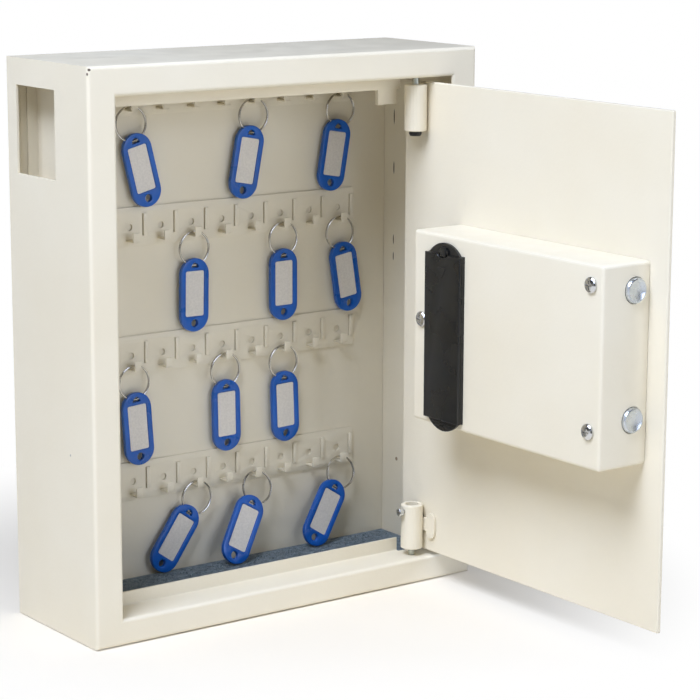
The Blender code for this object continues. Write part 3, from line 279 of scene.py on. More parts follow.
def powder_coat(name, colour, spots=()):
    """Powder coat: orange peel, a slow drift in tone, patchy gloss and, where asked, dark spots."""
    material, nodes, links, shader = finish_of(name, colour, 0.42)
    place = object_coordinates(nodes)
    drift = noise(nodes, links, place, 9.0, 3.0)
    warm = tuple(channel * shade for channel, shade in zip(colour, (0.97, 0.955, 0.925)))
    paint = ramp(nodes, links, drift, 0.35, 0.65, warm, colour)
    haze = noise(nodes, links, place, 60.0, 4.0)
    links.new(spread(nodes, links, haze, 0.3, 0.7, 0.34, 0.52), shader.inputs["Roughness"])
    fine = noise(nodes, links, place, PEEL_SCALE, 2.0)
    coarse = noise(nodes, links, place, PEEL_SCALE / 3, 2.0)
    relief = bump(nodes, links, coarse, PEEL_HEIGHT * 2, 0.55)
    relief = bump(nodes, links, fine, PEEL_HEIGHT, 0.6, relief)
    for centre, reach, tone in spots:
        mark = spot(nodes, links, place, centre, reach)
        paint = blend_colour(nodes, links, mark, paint, tone)
    links.new(paint, shader.inputs["Base Color"])
    links.new(relief, shader.inputs["Normal"])
    shader.inputs["Coat Weight"].default_value = 0.12
    shader.inputs["Coat Roughness"].default_value = 0.25
    return material


def dress(obj, material):
    obj.data.materials.clear()
    obj.data.materials.append(material)


shell_low, shell_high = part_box("cabinet_shell")
side_wall = shell_high.x - SHELL_SHEET
# each mark's place, its reach along the axes and its colour
SHELL_SPOTS = (
    # the open corner of the folds, front left top
    ((shell_low.x, shell_low.y + 0.0006, shell_high.z - 0.0046),
     (0.0010, 0.0011, 0.0013), SEAM_BROWN),
    ((shell_low.x + 0.0012, shell_low.y, shell_high.z - 0.0020),
     (0.0014, 0.0010, 0.0010), SEAM_BROWN),
    # slits in the hinge side's wall, near the back
    ((side_wall, SLIT_Y, 0.128), (0.0012, 0.0007, 0.0060), SLIT_DARK),
    ((side_wall, SLIT_Y, 0.092), (0.0012, 0.0007, 0.0050), SLIT_DARK),
    ((side_wall, SLIT_Y, 0.041), (0.0012, 0.0006, 0.0040), SLIT_DARK),
    ((side_wall, SLIT_Y, 0.029), (0.0012, 0.0006, 0.0034), SLIT_DARK),
    # weld spots low on the hinge side
    ((side_wall, -0.018, -0.118), (0.002, 0.0016, 0.0016), (0.33, 0.25, 0.15)),
    ((side_wall, -0.030, -0.136), (0.002, 0.0012, 0.0012), (0.36, 0.28, 0.18)),
    # a bare dot on the left wall
    ((shell_low.x, -0.071, -0.062), (0.001, 0.0009, 0.0009), (0.45, 0.42, 0.36)),
)
shell_coat = powder_coat("shell_powder_coat", IVORY, SHELL_SPOTS)
ivory_coat = powder_coat("ivory_powder_coat", IVORY)
dress(frame["nodes"]["cabinet_shell"], shell_coat)
dress(frame["nodes"]["back_panel"], ivory_coat)
dress(frame["nodes"]["drop_baffle"], ivory_coat)


# ---- floor mat ----------------------------------------------------------------------------------
# A needle-felt mat, cut to size and laid loose on the floor so that dropped keys land softly. Its
# fibres are slate, pale grey and near black, and they mat together in clumps.
# painted shade: the depths below the mat's top at which its cut sides are painted fully dark, and at
# which that painted shade ends
SIDE_SHADE_FULL_BELOW_TOP = 0.0014
SIDE_SHADE_ENDS_BELOW_TOP = 0.0006


def felt(name, top):
    """Matted fibres, with painted shade making the mat's cut sides darker than its top."""
    material, nodes, links, shader = finish_of(name, (0.12, 0.19, 0.22), 0.95)
    place = object_coordinates(nodes)
    clumps = noise(nodes, links, place, 260.0, 6.0, 0.7)
    fibres = noise(nodes, links, place, 1500.0, 4.0, 0.7)
    slate = ramp(nodes, links, clumps, 0.36, 0.66, (0.018, 0.040, 0.055), (0.13, 0.20, 0.235))
    pale = spread(nodes, links, fibres, 0.56, 0.72, 0.0, 0.8)
    mottled = blend_colour(nodes, links, pale, slate, (0.45, 0.52, 0.53))
    axes = nodes.new("ShaderNodeSeparateXYZ")
    links.new(place, axes.inputs["Vector"])
    # painted shade: below the top, the cut sides are blended to near black to stand in for the shadow
    # on them
    unshaded_top = spread(nodes, links, axes.outputs["Z"], top - SIDE_SHADE_FULL_BELOW_TOP, top - SIDE_SHADE_ENDS_BELOW_TOP, 0.0, 1.0)
    links.new(blend_colour(nodes, links, unshaded_top, (0.004, 0.006, 0.007), mottled),
              shader.inputs["Base Color"])
    relief = bump(nodes, links, clumps, 0.0012, 0.9)
    links.new(bump(nodes, links, fibres, 0.0004, 0.9, relief), shader.inputs["Normal"])
    shader.inputs["Sheen Weight"].default_value = 0.35
    return material


mat_low, mat_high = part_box("floor_mat")
mat_felt_and_side_shade = felt("slate_felt_and_side_shade", mat_high.z)
dress(frame["nodes"]["floor_mat"], mat_felt_and_side_shade)

FIBRES = 5200
FIBRE_LENGTH = (0.0015, 0.0042)
FIBRE_HALF_WIDTH = 0.00011
FIBRE_RISE = (0.0003, 0.0013)
FIBRE_ROOT = 0.0002
FIBRE_INSET = 0.0045
# shares of a fibre's length, with the share of its rise reached there
FIBRE_ARCH = ((0.0, 0.0), (0.5, 1.0), (1.0, 0.35))
chance = random.Random(11)
bm = bmesh.new()
for _ in range(FIBRES):
    foot = Vector((chance.uniform(mat_low.x + FIBRE_INSET, mat_high.x - FIBRE_INSET),
                   chance.uniform(mat_low.y + FIBRE_INSET, mat_high.y - FIBRE_INSET),
                   mat_high.z - FIBRE_ROOT))
    heading = chance.uniform(0, math.tau)
    along_fibre = Vector((math.cos(heading), math.sin(heading), 0)) * chance.uniform(*FIBRE_LENGTH)
    beside = Vector((-math.sin(heading), math.cos(heading), 0)) * FIBRE_HALF_WIDTH
    rise = Vector((0, 0, chance.uniform(*FIBRE_RISE)))
    rows = []
    for share, lift in FIBRE_ARCH:
        centre = foot + along_fibre * share + rise * lift
        rows.append([bm.verts.new(centre - beside), bm.verts.new(centre + beside)])
    for first, second in zip(rows, rows[1:]):
        bm.faces.new((first[0], first[1], second[1], second[0]))
fibres = new_object("mat_fibres", bm)
fibres.data.materials.append(mat_felt_and_side_shade)
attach(fibres, "cabinet")


# ---- hook strips --------------------------------------------------------------------------------
# Four pressed steel strips are spot welded to the back panel and painted with it. Each has ten
# flat hooks bent out of its lower edge, a punched hole above each hook, and a label clip lanced out
# between hooks, which leaves a slit along the clip's left side.
HOOKS = 10
HOOK_PITCH = 0.0242
STRIP_SHEET = 0.0010
STRIP_CORNER_R = 0.0015
STRIP_EDGE = 0.00022
HOOK_HALF_WIDTH = 0.0025
HOOK_REACH = 0.0080
HOOK_SHEET = 0.0012
HOOK_FINGER = 0.0055
HOOK_LIFT = 0.0035
TONGUE_EDGE = 0.0004
FINGER_EDGE = 0.0005
HOLE_R = 0.0024
HOLE_ABOVE_TONGUE = 0.0092
CLIP_HALF_WIDTH = 0.0015
CLIP_HALF_LENGTH = 0.0075
CLIP_RISE = 0.0140
CLIP_RAISE = 0.0011
SLIT_WIDTH = 0.0005
SLIT_CORNER_R = 0.0003
CIRCLE_STEPS = 20
# how deep one shape is sunk into the one it stands on
SUNK = 0.0002
TOLERANCE = 1e-6


def rounded_box(half_x, half_z, radius, middle_x, middle_z, steps=4):
    """A rounded rectangle as a list of points, anticlockwise."""
    points = []
    for side_x, side_z, start in ((1, 1, 0), (-1, 1, 90), (-1, -1, 180), (1, -1, 270)):
        for step in range(steps + 1):
            angle = math.radians(start + 90 * step / steps)
            points.append((middle_x + side_x * (half_x - radius) + radius * math.cos(angle),
                           middle_z + side_z * (half_z - radius) + radius * math.sin(angle)))
    return points


def circle(radius, middle_x, middle_z):
    return [(middle_x + radius * math.cos(math.tau * step / CIRCLE_STEPS),
             middle_z + radius * math.sin(math.tau * step / CIRCLE_STEPS))
            for step in range(CIRCLE_STEPS)]


def thicken(bm, faces, shift):
    """Extrude faces by a vector."""
    grown = bmesh.ops.extrude_face_region(bm, geom=faces)["geom"]
    verts = [item for item in grown if isinstance(item, bmesh.types.BMVert)]
    bmesh.ops.translate(bm, verts=verts, vec=shift)


def plate(bm, outlines, front, back):
    """A flat plate from its outline and the outlines of its holes, between two depths."""
    edges = []
    for points in outlines:
        verts = [bm.verts.new((x, back, z)) for x, z in points]
        edges += [bm.edges.new(pair) for pair in zip(verts, verts[1:] + verts[:1])]
    filled = bmesh.ops.triangle_fill(bm, edges=edges, use_beauty=True)["geom"]
    faces = [item for item in filled if isinstance(item, bmesh.types.BMFace)]
    thicken(bm, faces, (0, front - back, 0))


def soft_block(bm, low, high, offset):
    """A box with its edges rounded."""
    low, high = Vector(low), Vector(high)
    place = Matrix.Translation((low + high) / 2) @ Matrix.Diagonal((*(high - low), 1))
    verts = bmesh.ops.create_cube(bm, size=1, matrix=place)["verts"]
    edges = {edge for vert in verts for edge in vert.link_edges}
    bmesh.ops.bevel(bm, geom=list(edges), offset=offset, segments=2, profile=0.5,
                    affect="EDGES", material=-1)


for row in range(4):
    low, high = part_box(f"hook_strip_{row + 1}")
    face_y = high.y - STRIP_SHEET
    middle = Vector(((low.x + high.x) / 2, 0, (low.z + high.z) / 2))
    first_x = middle.x - (HOOKS - 1) / 2 * HOOK_PITCH
    tongue = low.z + HOOK_LIFT
    clip_z = low.z + CLIP_RISE
    outlines = [rounded_box((high.x - low.x) / 2, (high.z - low.z) / 2, STRIP_CORNER_R,
                            middle.x, middle.z)]
    for index in range(HOOKS):
        x = first_x + index * HOOK_PITCH
        outlines.append(circle(HOLE_R, x, tongue + HOLE_ABOVE_TONGUE))
        slit_x = x + HOOK_PITCH / 2 - CLIP_HALF_WIDTH - SLIT_WIDTH / 2
        outlines.append(rounded_box(SLIT_WIDTH / 2, CLIP_HALF_LENGTH, SLIT_CORNER_R,
                                    slit_x, clip_z, 1))
    bm = bmesh.new()
    plate(bm, outlines, face_y, high.y)
    bmesh.ops.recalc_face_normals(bm, faces=bm.faces[:])
    rim = [edge for edge in bm.edges if edge.calc_face_angle(0) > 1.0
           and all(abs(vert.co.y - face_y) < TOLERANCE for vert in edge.verts)]
    bmesh.ops.bevel(bm, geom=rim, offset=STRIP_EDGE, segments=2, profile=0.5, affect="EDGES",
                    clamp_overlap=True, material=-1)
    for index in range(HOOKS):
        x = first_x + index * HOOK_PITCH
        out = face_y - HOOK_REACH - HOOK_SHEET
        soft_block(bm, (x - HOOK_HALF_WIDTH, out, tongue),
                   (x + HOOK_HALF_WIDTH, face_y + SUNK, tongue + HOOK_SHEET), TONGUE_EDGE)
        soft_block(bm, (x - HOOK_HALF_WIDTH, out, tongue + 0.0001),
                   (x + HOOK_HALF_WIDTH, out + HOOK_SHEET, tongue + HOOK_SHEET + HOOK_FINGER),
                   FINGER_EDGE)
        clip_x = x + HOOK_PITCH / 2
        soft_block(bm, (clip_x - CLIP_HALF_WIDTH, face_y - CLIP_RAISE, clip_z - CLIP_HALF_LENGTH),
                   (clip_x + CLIP_HALF_WIDTH, face_y + SUNK, clip_z + CLIP_HALF_LENGTH), TONGUE_EDGE)
    strip = new_object(f"strip_{row + 1}", bm)
    strip.data.materials.append(ivory_coat)
    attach(strip, "cabinet")
    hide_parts(f"hook_strip_{row + 1}")


# ---- hinges -------------------------------------------------------------------------------------
# Two zinc-plated steel pins go through the cabinet's reveals into turned barrels. The barrels are
# welded inside the door and painted with it. The lower one has a slotted screw, the upper a plug.
def metal(name, colour, roughness, grain=400.0, depth=0.00001):
    """Plated or polished steel: fine grain, cloudy gloss and a faint stain."""
    material, nodes, links, shader = finish_of(name, colour, roughness, 1.0)
    place = object_coordinates(nodes)
    cloud = noise(nodes, links, place, 90.0, 4.0)
    dull = tuple(channel * 0.82 for channel in colour)
    links.new(ramp(nodes, links, cloud, 0.3, 0.65, dull, colour), shader.inputs["Base Color"])
    links.new(spread(nodes, links, cloud, 0.3, 0.7, roughness * 0.8, roughness * 1.35),
              shader.inputs["Roughness"])
    fine = noise(nodes, links, place, grain, 3.0)
    links.new(bump(nodes, links, fine, depth, 0.5), shader.inputs["Normal"])
    return material


def plastic(name, colour, roughness, grain=1600.0, depth=0.00003, pale=1.25):
    """Moulded plastic: fine grain, a faint drift in tone and finger-dulled gloss."""
    material, nodes, links, shader = finish_of(name, colour, roughness)
    place = object_coordinates(nodes)
    drift = noise(nodes, links, place, 45.0, 4.0)
    light = tuple(min(1.0, channel * pale) for channel in colour)
    links.new(ramp(nodes, links, drift, 0.35, 0.7, colour, light), shader.inputs["Base Color"])
    links.new(spread(nodes, links, drift, 0.3, 0.7, roughness * 0.85, roughness * 1.25),
              shader.inputs["Roughness"])
    fine = noise(nodes, links, place, grain, 2.0)
    links.new(bump(nodes, links, fine, depth, 0.45), shader.inputs["Normal"])
    return material


zinc = metal("zinc_plate", (0.55, 0.57, 0.50), 0.36)
bright = metal("bright_steel", (0.72, 0.74, 0.76), 0.20, 700.0)
black_plastic = plastic("black_case_plastic", (0.007, 0.007, 0.0065), 0.27, pale=1.6)
for name in ("lower_hinge_pin", "upper_hinge_pin"):
    dress(frame["nodes"][name], zinc)
for name in ("lower_barrel", "upper_barrel"):
    dress(frame["nodes"][name], ivory_coat)
dress(frame["nodes"]["barrel_screw"], bright)
dress(frame["nodes"]["hinge_plug"], black_plastic)


# ---- door ---------------------------------------------------------------------------------------
# One 3 mm steel sheet, laser cut and powder coated on both sides. It has no folds; the lock cover,
# the barrels and the keypad are fixed to it.
door_coat = powder_coat("door_powder_coat", IVORY)
dress(frame["nodes"]["door_panel"], door_coat)


# ---- lock cover ---------------------------------------------------------------------------------
# A folded steel box, powder coated like the door, is held over the lock by three bright Phillips
# screws that go into a zinc-plated chassis plate.
dress(frame["nodes"]["lock_cover"], door_coat)
screw_steel = metal("screw_steel", (0.70, 0.71, 0.72), 0.17, 900.0)
for number in range(1, 4):
    dress(frame["nodes"][f"cover_screw_{number}"], screw_steel)
dress(frame["nodes"]["lock_chassis"], zinc)


# ---- lock ---------------------------------------------------------------------------------------
# Two turned and nickel-plated bolts on a zinc-plated slide bar. A crank on the knob's spindle moves
# the bar, and a coil's plunger blocks it.
BOLT_SIDES = 64
# the end face is dished inside a rim, and the rim is crowned and chamfered
BOLT_RIM = 0.0013
BOLT_DISH = 0.0002
DISH_SLOPE = 0.0003
BOLT_CROWN = 0.00012
CHAMFER_WIDTH = 0.0005
CHAMFER_LENGTH = 0.0009
chrome = metal("bolt_chrome", (0.66, 0.70, 0.74), 0.24, 500.0, 0.000006)
for name in ("lower_bolt", "upper_bolt"):
    low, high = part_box(name)
    radius = (high.z - low.z) / 2
    axis = Vector(((low.x + high.x) / 2, 0, (low.z + high.z) / 2))
    profile = [(0, low.y + BOLT_DISH), (radius - BOLT_RIM - DISH_SLOPE, low.y + BOLT_DISH),
               (radius - BOLT_RIM, low.y), (radius - CHAMFER_WIDTH, low.y + BOLT_CROWN),
               (radius, low.y + CHAMFER_LENGTH), (radius, high.y), (0, high.y)]
    bm = bmesh.new()
    verts = [bm.verts.new((axis.x + out, y, axis.z)) for out, y in profile]
    edges = [bm.edges.new(pair) for pair in zip(verts, verts[1:])]
    bmesh.ops.spin(bm, geom=verts + edges, cent=axis, axis=(0, 1, 0), angle=math.tau,
                   steps=BOLT_SIDES, use_merge=True)
    bmesh.ops.remove_doubles(bm, verts=bm.verts[:], dist=TOLERANCE)
    bmesh.ops.recalc_face_normals(bm, faces=bm.faces[:])
    bolt = new_object(f"turned_{name}", bm)
    bolt.data.materials.append(chrome)
    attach(bolt, "bolt_slide")
    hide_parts(name)
dress(frame["nodes"]["bolt_bar"], zinc)
dress(frame["nodes"]["spindle"], zinc)
dress(frame["nodes"]["plunger"], bright)
coil_finish = plastic("coil_tape", (0.16, 0.10, 0.035), 0.5, 900.0, 0.00008)
dress(frame["nodes"]["solenoid"], coil_finish)


# ---- battery case -------------------------------------------------------------------------------
# A black moulded tray, sunk through the cover's face, with two rounded ears and a thin lid that
# slides under them. The lid is moulded with a soft edge, a thumb notch and a pointer to open it by.
tray_finish = plastic("tray_plastic", (0.009, 0.009, 0.0085), 0.27, pale=1.5)
dress(frame["nodes"]["battery_tray"], tray_finish)

LID_EDGE = 0.0009
NOTCH_HALF_WIDTH = 0.0050
NOTCH_DEPTH = 0.0022
NOTCH_STEPS = 8
POINTER_DROP = 0.0125
POINTER_HALF_WIDTH = 0.0042
POINTER_ABOVE = 0.004
POINTER_BELOW = 0.003
POINTER_SUNK = 0.0001
POINTER_THICKNESS = 0.0004
lid_low, lid_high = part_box("battery_lid")
lid_mid_y = (lid_low.y + lid_high.y) / 2
outline = [(lid_low.y, lid_low.z), (lid_high.y, lid_low.z), (lid_high.y, lid_high.z)]
for step in range(NOTCH_STEPS + 1):
    angle = math.pi * step / NOTCH_STEPS
    outline.append((lid_mid_y + NOTCH_HALF_WIDTH * math.cos(angle),
                    lid_high.z - NOTCH_DEPTH * math.sin(angle)))
outline.append((lid_low.y, lid_high.z))
bm = bmesh.new()
back = bm.faces.new([bm.verts.new((lid_high.x, y, z)) for y, z in outline])
thicken(bm, [back], (lid_low.x - lid_high.x, 0, 0))
bmesh.ops.recalc_face_normals(bm, faces=bm.faces[:])
rim = [edge for edge in bm.edges
       if all(abs(vert.co.x - lid_low.x) < TOLERANCE for vert in edge.verts)]
bmesh.ops.bevel(bm, geom=rim, offset=LID_EDGE, segments=3, profile=0.5, affect="EDGES", material=-1)
pointer_z = lid_high.z - POINTER_DROP
pointer = [(lid_mid_y - POINTER_HALF_WIDTH, pointer_z + POINTER_ABOVE),
           (lid_mid_y + POINTER_HALF_WIDTH, pointer_z + POINTER_ABOVE),
           (lid_mid_y, pointer_z - POINTER_BELOW)]
arrow = bm.faces.new([bm.verts.new((lid_low.x + POINTER_SUNK, y, z)) for y, z in pointer])
thicken(bm, [arrow], (-POINTER_THICKNESS, 0, 0))
bmesh.ops.recalc_face_normals(bm, faces=bm.faces[:])
lid = new_object("case_lid", bm)
lid.data.materials.append(black_plastic)
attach(lid, "door")
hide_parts("battery_lid")

# the latch on the upper ear, which the lid's notch clicks over, and two ribs on the lower ear, each
# block by its half width, its lower and upper edge from the lid's end and its height
EAR_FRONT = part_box("lock_cover")[0].x - 0.0019
LATCH = ((0.0046, 0.0004, 0.0030, 0.0012), (0.0028, -0.0014, 0.0046, 0.0018))
LATCH_EDGE = 0.00025
EAR_OVERLAP = 0.0003
RIBS = ((0.0110, -0.0026, -0.0019, 0.0007), (0.0082, -0.0046, -0.0039, 0.0007))
bm = bmesh.new()
for shapes, end_z in ((LATCH, lid_high.z), (RIBS, lid_low.z)):
    for half_width, low_z, high_z, height in shapes:
        soft_block(bm, (EAR_FRONT - height, lid_mid_y - half_width, end_z + low_z),
                   (EAR_FRONT + EAR_OVERLAP, lid_mid_y + half_width, end_z + high_z), LATCH_EDGE)
latch = new_object("case_latch", bm)
latch.data.materials.append(tray_finish)
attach(latch, "door")


# ---- battery cells ------------------------------------------------------------------------------
# Four standard AA cells in printed film. The film has a plain band at the plus end.
COPPER_BAND = (0.55, 0.27, 0.10)
FILM_BLACK = (0.03, 0.03, 0.035)
BAND_FROM_END = 0.0140
BAND_BLUR = 0.0004


def cell_film(name, start, blur):
    """Black film with a copper band that begins at a height and lies on the side blur points to."""
    material, nodes, links, shader = finish_of(name, FILM_BLACK, 0.3)
    place = object_coordinates(nodes)
    axes = nodes.new("ShaderNodeSeparateXYZ")
    links.new(place, axes.inputs["Vector"])
    ring = spread(nodes, links, axes.outputs["Z"], start, start + blur, 0.0, 1.0)
    grime = noise(nodes, links, place, 300.0, 4.0)
    worn = tuple(channel * 0.85 for channel in FILM_BLACK)
    plain = ramp(nodes, links, grime, 0.3, 0.7, worn, FILM_BLACK)
    links.new(blend_colour(nodes, links, ring, plain, COPPER_BAND), shader.inputs["Base Color"])
    links.new(bump(nodes, links, grime, 0.00003, 0.4), shader.inputs["Normal"])
    return material


# the cells lie head to tail, as in any such case
for number in range(1, 5):
    low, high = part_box(f"battery_cell_{number}")
    if number % 2:
        film = cell_film(f"cell_film_{number}", low.z + BAND_FROM_END, -BAND_BLUR)
    else:
        film = cell_film(f"cell_film_{number}", high.z - BAND_FROM_END, BAND_BLUR)
    dress(frame["nodes"][f"battery_cell_{number}"], film)


# ---- keypad -------------------------------------------------------------------------------------
# A black moulded housing stands outside the door over a circuit board. Its twelve grey rubber keys
# carry plain printed legends. The knob below is moulded plastic with a painted index line, and the
# emergency lock beside it is a plated plug with a keyway.
LEGENDS = ("1", "2", "3", "4", "5", "6", "7", "8", "9", "*", "0", "#")
LEGEND_SIZE = 0.0075
LEGEND_THICKNESS = 0.00004
LEGEND_LIFT = 0.00003
PRINT_WHITE = (0.80, 0.80, 0.78)
INDEX_FROM_TOP = 0.0080
INDEX_REACH = (0.0006, 0.0009, 0.0045)
housing_plastic = plastic("housing_plastic", (0.014, 0.014, 0.015), 0.42, 900.0, 0.00006)
dress(frame["nodes"]["keypad_housing"], housing_plastic)
key_rubber = plastic("key_rubber", (0.28, 0.29, 0.30), 0.62, 1200.0, 0.00004, 1.1)
print_white = plastic("legend_print", PRINT_WHITE, 0.5, 2000.0, 0.00001, 1.05)
knob_plastic = plastic("knob_plastic", (0.022, 0.022, 0.024), 0.30, 1400.0, 0.00002)
board_finish, nodes, links, shader = finish_of("board_lacquer", (0.01, 0.14, 0.05), 0.35)
place = object_coordinates(nodes)
tracks = nodes.new("ShaderNodeTexBrick")
tracks.inputs["Scale"].default_value = 160.0
tracks.inputs["Color1"].default_value = (0.01, 0.14, 0.05, 1)
tracks.inputs["Color2"].default_value = (0.012, 0.17, 0.06, 1)
tracks.inputs["Mortar"].default_value = (0.03, 0.25, 0.09, 1)
turn = nodes.new("ShaderNodeMapping")
turn.inputs["Rotation"].default_value = (0, math.radians(90), 0)
links.new(place, turn.inputs["Vector"])
links.new(turn.outputs["Vector"], tracks.inputs["Vector"])
links.new(tracks.outputs["Color"], shader.inputs["Base Color"])
dress(frame["nodes"]["circuit_board"], board_finish)
dress(frame["nodes"]["knob"], knob_plastic)
dress(frame["nodes"]["emergency_lock"], bright)

for number, sign in enumerate(LEGENDS, 1):
    key_name = f"key_{number}"
    dress(frame["nodes"][key_name], key_rubber)
    low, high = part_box(key_name)
    letters = bpy.data.curves.new(f"legend_curve_{number}", "FONT")
    letters.body = sign
    letters.size = LEGEND_SIZE
    letters.extrude = LEGEND_THICKNESS
    letters.align_x = "CENTER"
    letters.align_y = "CENTER"
    letters.resolution_u = 3
    draft = bpy.data.objects.new(f"legend_draft_{number}", letters)
    scene.collection.objects.link(draft)
    bpy.context.view_layer.update()
    mesh = bpy.data.meshes.new_from_object(draft)
    bpy.data.objects.remove(draft)
    facing = Matrix(((0, 0, 1, high.x + LEGEND_LIFT), (1, 0, 0, (low.y + high.y) / 2),
                     (0, 1, 0, (low.z + high.z) / 2), (0, 0, 0, 1)))
    mesh.transform(facing)
    legend = bpy.data.objects.new(f"key_legend_{number}", mesh)
    scene.collection.objects.link(legend)
    dress(legend, print_white)
    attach(legend, key_name)

# the knob's index line is paint, laid over the plastic's own colour
knob_low, knob_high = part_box("knob")
nodes, links = knob_plastic.node_tree.nodes, knob_plastic.node_tree.links
shader = nodes["Principled BSDF"]
index_place = (knob_high.x, (knob_low.y + knob_high.y) / 2, knob_high.z - INDEX_FROM_TOP)
index_mark = spot(nodes, links, object_coordinates(nodes), index_place, INDEX_REACH)
paint = shader.inputs["Base Color"].links[0].from_socket
links.new(blend_colour(nodes, links, index_mark, paint, PRINT_WHITE), shader.inputs["Base Color"])


# ---- key tags -----------------------------------------------------------------------------------
# Twelve moulded blue tags, each with a raised rim round a paper label behind clear film, a
# half-moon eye for its ring and a round hole below. The ring is split and nickel plated. The tags
# hang askew, and those of the lowest strip stand on the mat.
RING_R = 0.0115
WIRE_R = 0.00052
TAG_LENGTH = 0.050
TAG_HALF_WIDTH = 0.011
TAG_HALF_THICKNESS = 0.0017
# the tag's top is this far above the foot of its ring
TAG_ABOVE_FOOT = 0.00475
TAG_TOP = -2 * RING_R + TAG_ABOVE_FOOT
TAG_EDGE = 0.00045
TAG_MIDDLE = TAG_TOP - TAG_LENGTH / 2
EYE_HALF_WIDTH = 0.0029
EYE_HEIGHT = 0.0034
EYE_FROM_TOP = 0.0030
TAG_HOLE_R = 0.0026
HOLE_FROM_END = 0.0058
EYE_STEPS = 10
# half width, half height and corner radius
WINDOW = (0.0074, 0.0157, 0.0012)
WINDOW_RISE = 0.0010
WINDOW_DEPTH = 0.0007
LABEL_GAP = 0.00006
LABEL_THICKNESS = 0.00012
LABEL_MARGIN = 0.0003
RING_SIDES = 8
RING_STEPS = 88
RING_COILS = 2 * 0.985
# the wire steps over from one coil to the next between these shares of its length
STEP_FROM = 0.46
STEP_SHARE = 0.08
# the height that the leaning tags' lower ends come down to, just clear of the mat
LEANING_FOOT = -0.1723
LOWEST_ROW = 3
# each tag's strip, counted from 0 at the top, and its sideways tilt in degrees, as in the CAD
TAG_TILTS = ((0, -14), (0, 11), (0, 10), (1, 1), (1, 0), (1, -9),
             (2, -4), (2, -1), (2, -2), (3, 36), (3, 32), (3, 34))


def make_tag_body():
    """The moulded oval: a plate with its eye, hole and window, and a thinner floor in the window."""
    bm = bmesh.new()
    y = TAG_HALF_THICKNESS
    oval = rounded_box(TAG_HALF_WIDTH, TAG_LENGTH / 2, TAG_HALF_WIDTH - 0.00005, 0, TAG_MIDDLE, 12)
    eye_foot = TAG_TOP - EYE_FROM_TOP - EYE_HEIGHT
    eye = [(EYE_HALF_WIDTH * math.cos(math.pi * step / EYE_STEPS),
            eye_foot + EYE_HEIGHT * math.sin(math.pi * step / EYE_STEPS))
           for step in range(EYE_STEPS + 1)]
    hole = circle(TAG_HOLE_R, 0, TAG_TOP - TAG_LENGTH + HOLE_FROM_END)
    window = rounded_box(*WINDOW, 0, TAG_MIDDLE + WINDOW_RISE)
    plate(bm, [oval, eye, hole, window], -y, y)
    bmesh.ops.recalc_face_normals(bm, faces=bm.faces[:])
    sharp = [edge for edge in bm.edges if edge.calc_face_angle(0) > 1.0]
    bmesh.ops.bevel(bm, geom=sharp, offset=TAG_EDGE, segments=2, profile=0.5, affect="EDGES",
                    clamp_overlap=True, material=-1)
    floor_y = y - WINDOW_DEPTH
    floor_face = bm.faces.new([bm.verts.new((x, floor_y, z)) for x, z in window])
    thicken(bm, [floor_face], (0, -2 * floor_y, 0))
    bmesh.ops.recalc_face_normals(bm, faces=bm.faces[:])
    return bm


def make_label():
    """The paper behind the window, a little smaller than it."""
    bm = bmesh.new()
    y = -(TAG_HALF_THICKNESS - WINDOW_DEPTH) - LABEL_GAP
    half_width, half_height, corner = WINDOW
    points = rounded_box(half_width - LABEL_MARGIN, half_height - LABEL_MARGIN, corner,
                         0, TAG_MIDDLE + WINDOW_RISE)
    face = bm.faces.new([bm.verts.new((x, y, z)) for x, z in points])
    thicken(bm, [face], (0, -LABEL_THICKNESS, 0))
    bmesh.ops.recalc_face_normals(bm, faces=bm.faces[:])
    return bm


def make_ring(start):
    """Nearly two coils of wire, side by side, with a step from one to the other."""
    bm = bmesh.new()
    rows = []
    for step in range(RING_STEPS + 1):
        share = step / RING_STEPS
        angle = start + share * math.tau * RING_COILS
        y = (-1 + 2 * min(1.0, max(0.0, (share - STEP_FROM) / STEP_SHARE))) * WIRE_R
        out = Vector((math.cos(angle), 0, math.sin(angle)))
        middle = Vector((0, y, -RING_R)) + out * RING_R
        turns = [math.tau * side / RING_SIDES for side in range(RING_SIDES)]
        rows.append([bm.verts.new(middle + out * WIRE_R * math.cos(turn)
                                  + Vector((0, WIRE_R * math.sin(turn), 0)))
                     for turn in turns])
    for first, second in zip(rows, rows[1:]):
        for side in range(RING_SIDES):
            after = (side + 1) % RING_SIDES
            bm.faces.new((first[side], first[after], second[after], second[side]))
    bm.faces.new(rows[0])
    bm.faces.new(rows[-1][::-1])
    bmesh.ops.recalc_face_normals(bm, faces=bm.faces[:])
    return bm


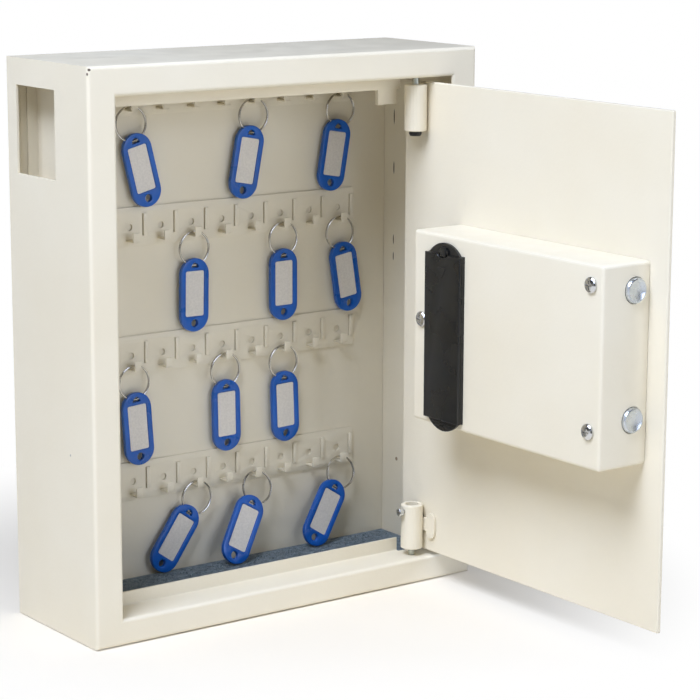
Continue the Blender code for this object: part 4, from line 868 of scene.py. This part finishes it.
tag_blue = plastic("tag_blue", (0.0, 0.088, 0.40), 0.30, 1500.0, 0.00002, 1.25)
tag_blue.node_tree.nodes["Principled BSDF"].inputs["Coat Weight"].default_value = 0.15
tag_blue.node_tree.nodes["Principled BSDF"].inputs["Coat Roughness"].default_value = 0.12
paper, nodes, links, shader = finish_of("paper_label", (0.74, 0.70, 0.62), 0.35)
place = object_coordinates(nodes)
pulp = noise(nodes, links, place, 700.0, 5.0)
links.new(ramp(nodes, links, pulp, 0.3, 0.7, (0.68, 0.64, 0.575), (0.78, 0.735, 0.66)),
          shader.inputs["Base Color"])
links.new(bump(nodes, links, pulp, 0.00003, 0.3), shader.inputs["Normal"])
shader.inputs["Coat Weight"].default_value = 0.5
shader.inputs["Coat Roughness"].default_value = 0.08
nickel = metal("ring_nickel", (0.62, 0.60, 0.56), 0.22, 900.0)

# each tag is made hanging from the origin, tilted about its ring's middle and moved to its joint
swings = {joint["name"]: joint for joint in frame["joints"]}
for number, (row, tilt) in enumerate(TAG_TILTS, 1):
    hung = Vector(swings[f"tag_{number}_swing"]["pos_m"])
    middle = Matrix.Translation((0, 0, -RING_R))
    askew = middle @ Matrix.Rotation(math.radians(tilt), 4, "Y") @ middle.inverted()
    lean = 0.0
    if row == LOWEST_ROW:
        # drop is from the ring's middle to the round end of the tag when it hangs straight down
        end_round = TAG_LENGTH - TAG_ABOVE_FOOT - TAG_HALF_WIDTH
        drop = RING_R + (RING_R + end_round) * math.cos(math.radians(tilt)) + TAG_HALF_WIDTH
        room = hung.z - LEANING_FOOT
        lean = -math.acos(min(1.0, room / math.hypot(drop, TAG_HALF_THICKNESS)))
        lean -= math.atan(TAG_HALF_THICKNESS / drop)
    place = Matrix.Translation(hung) @ Matrix.Rotation(lean, 4, "X") @ askew
    body_name = f"key_tag_{number}"
    for part, bm, finish, slot in (("tag_body", make_tag_body(), tag_blue, "tag_plastic"),
                                   ("tag_label", make_label(), paper, None),
                                   ("tag_ring", make_ring(number * 1.3), nickel, "zinc_steel")):
        bm.transform(place)
        obj = new_object(f"{part}_{number}", bm)
        obj.data.materials.append(finish)
        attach(obj, body_name)
        if part == "tag_body":
            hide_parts(body_name)
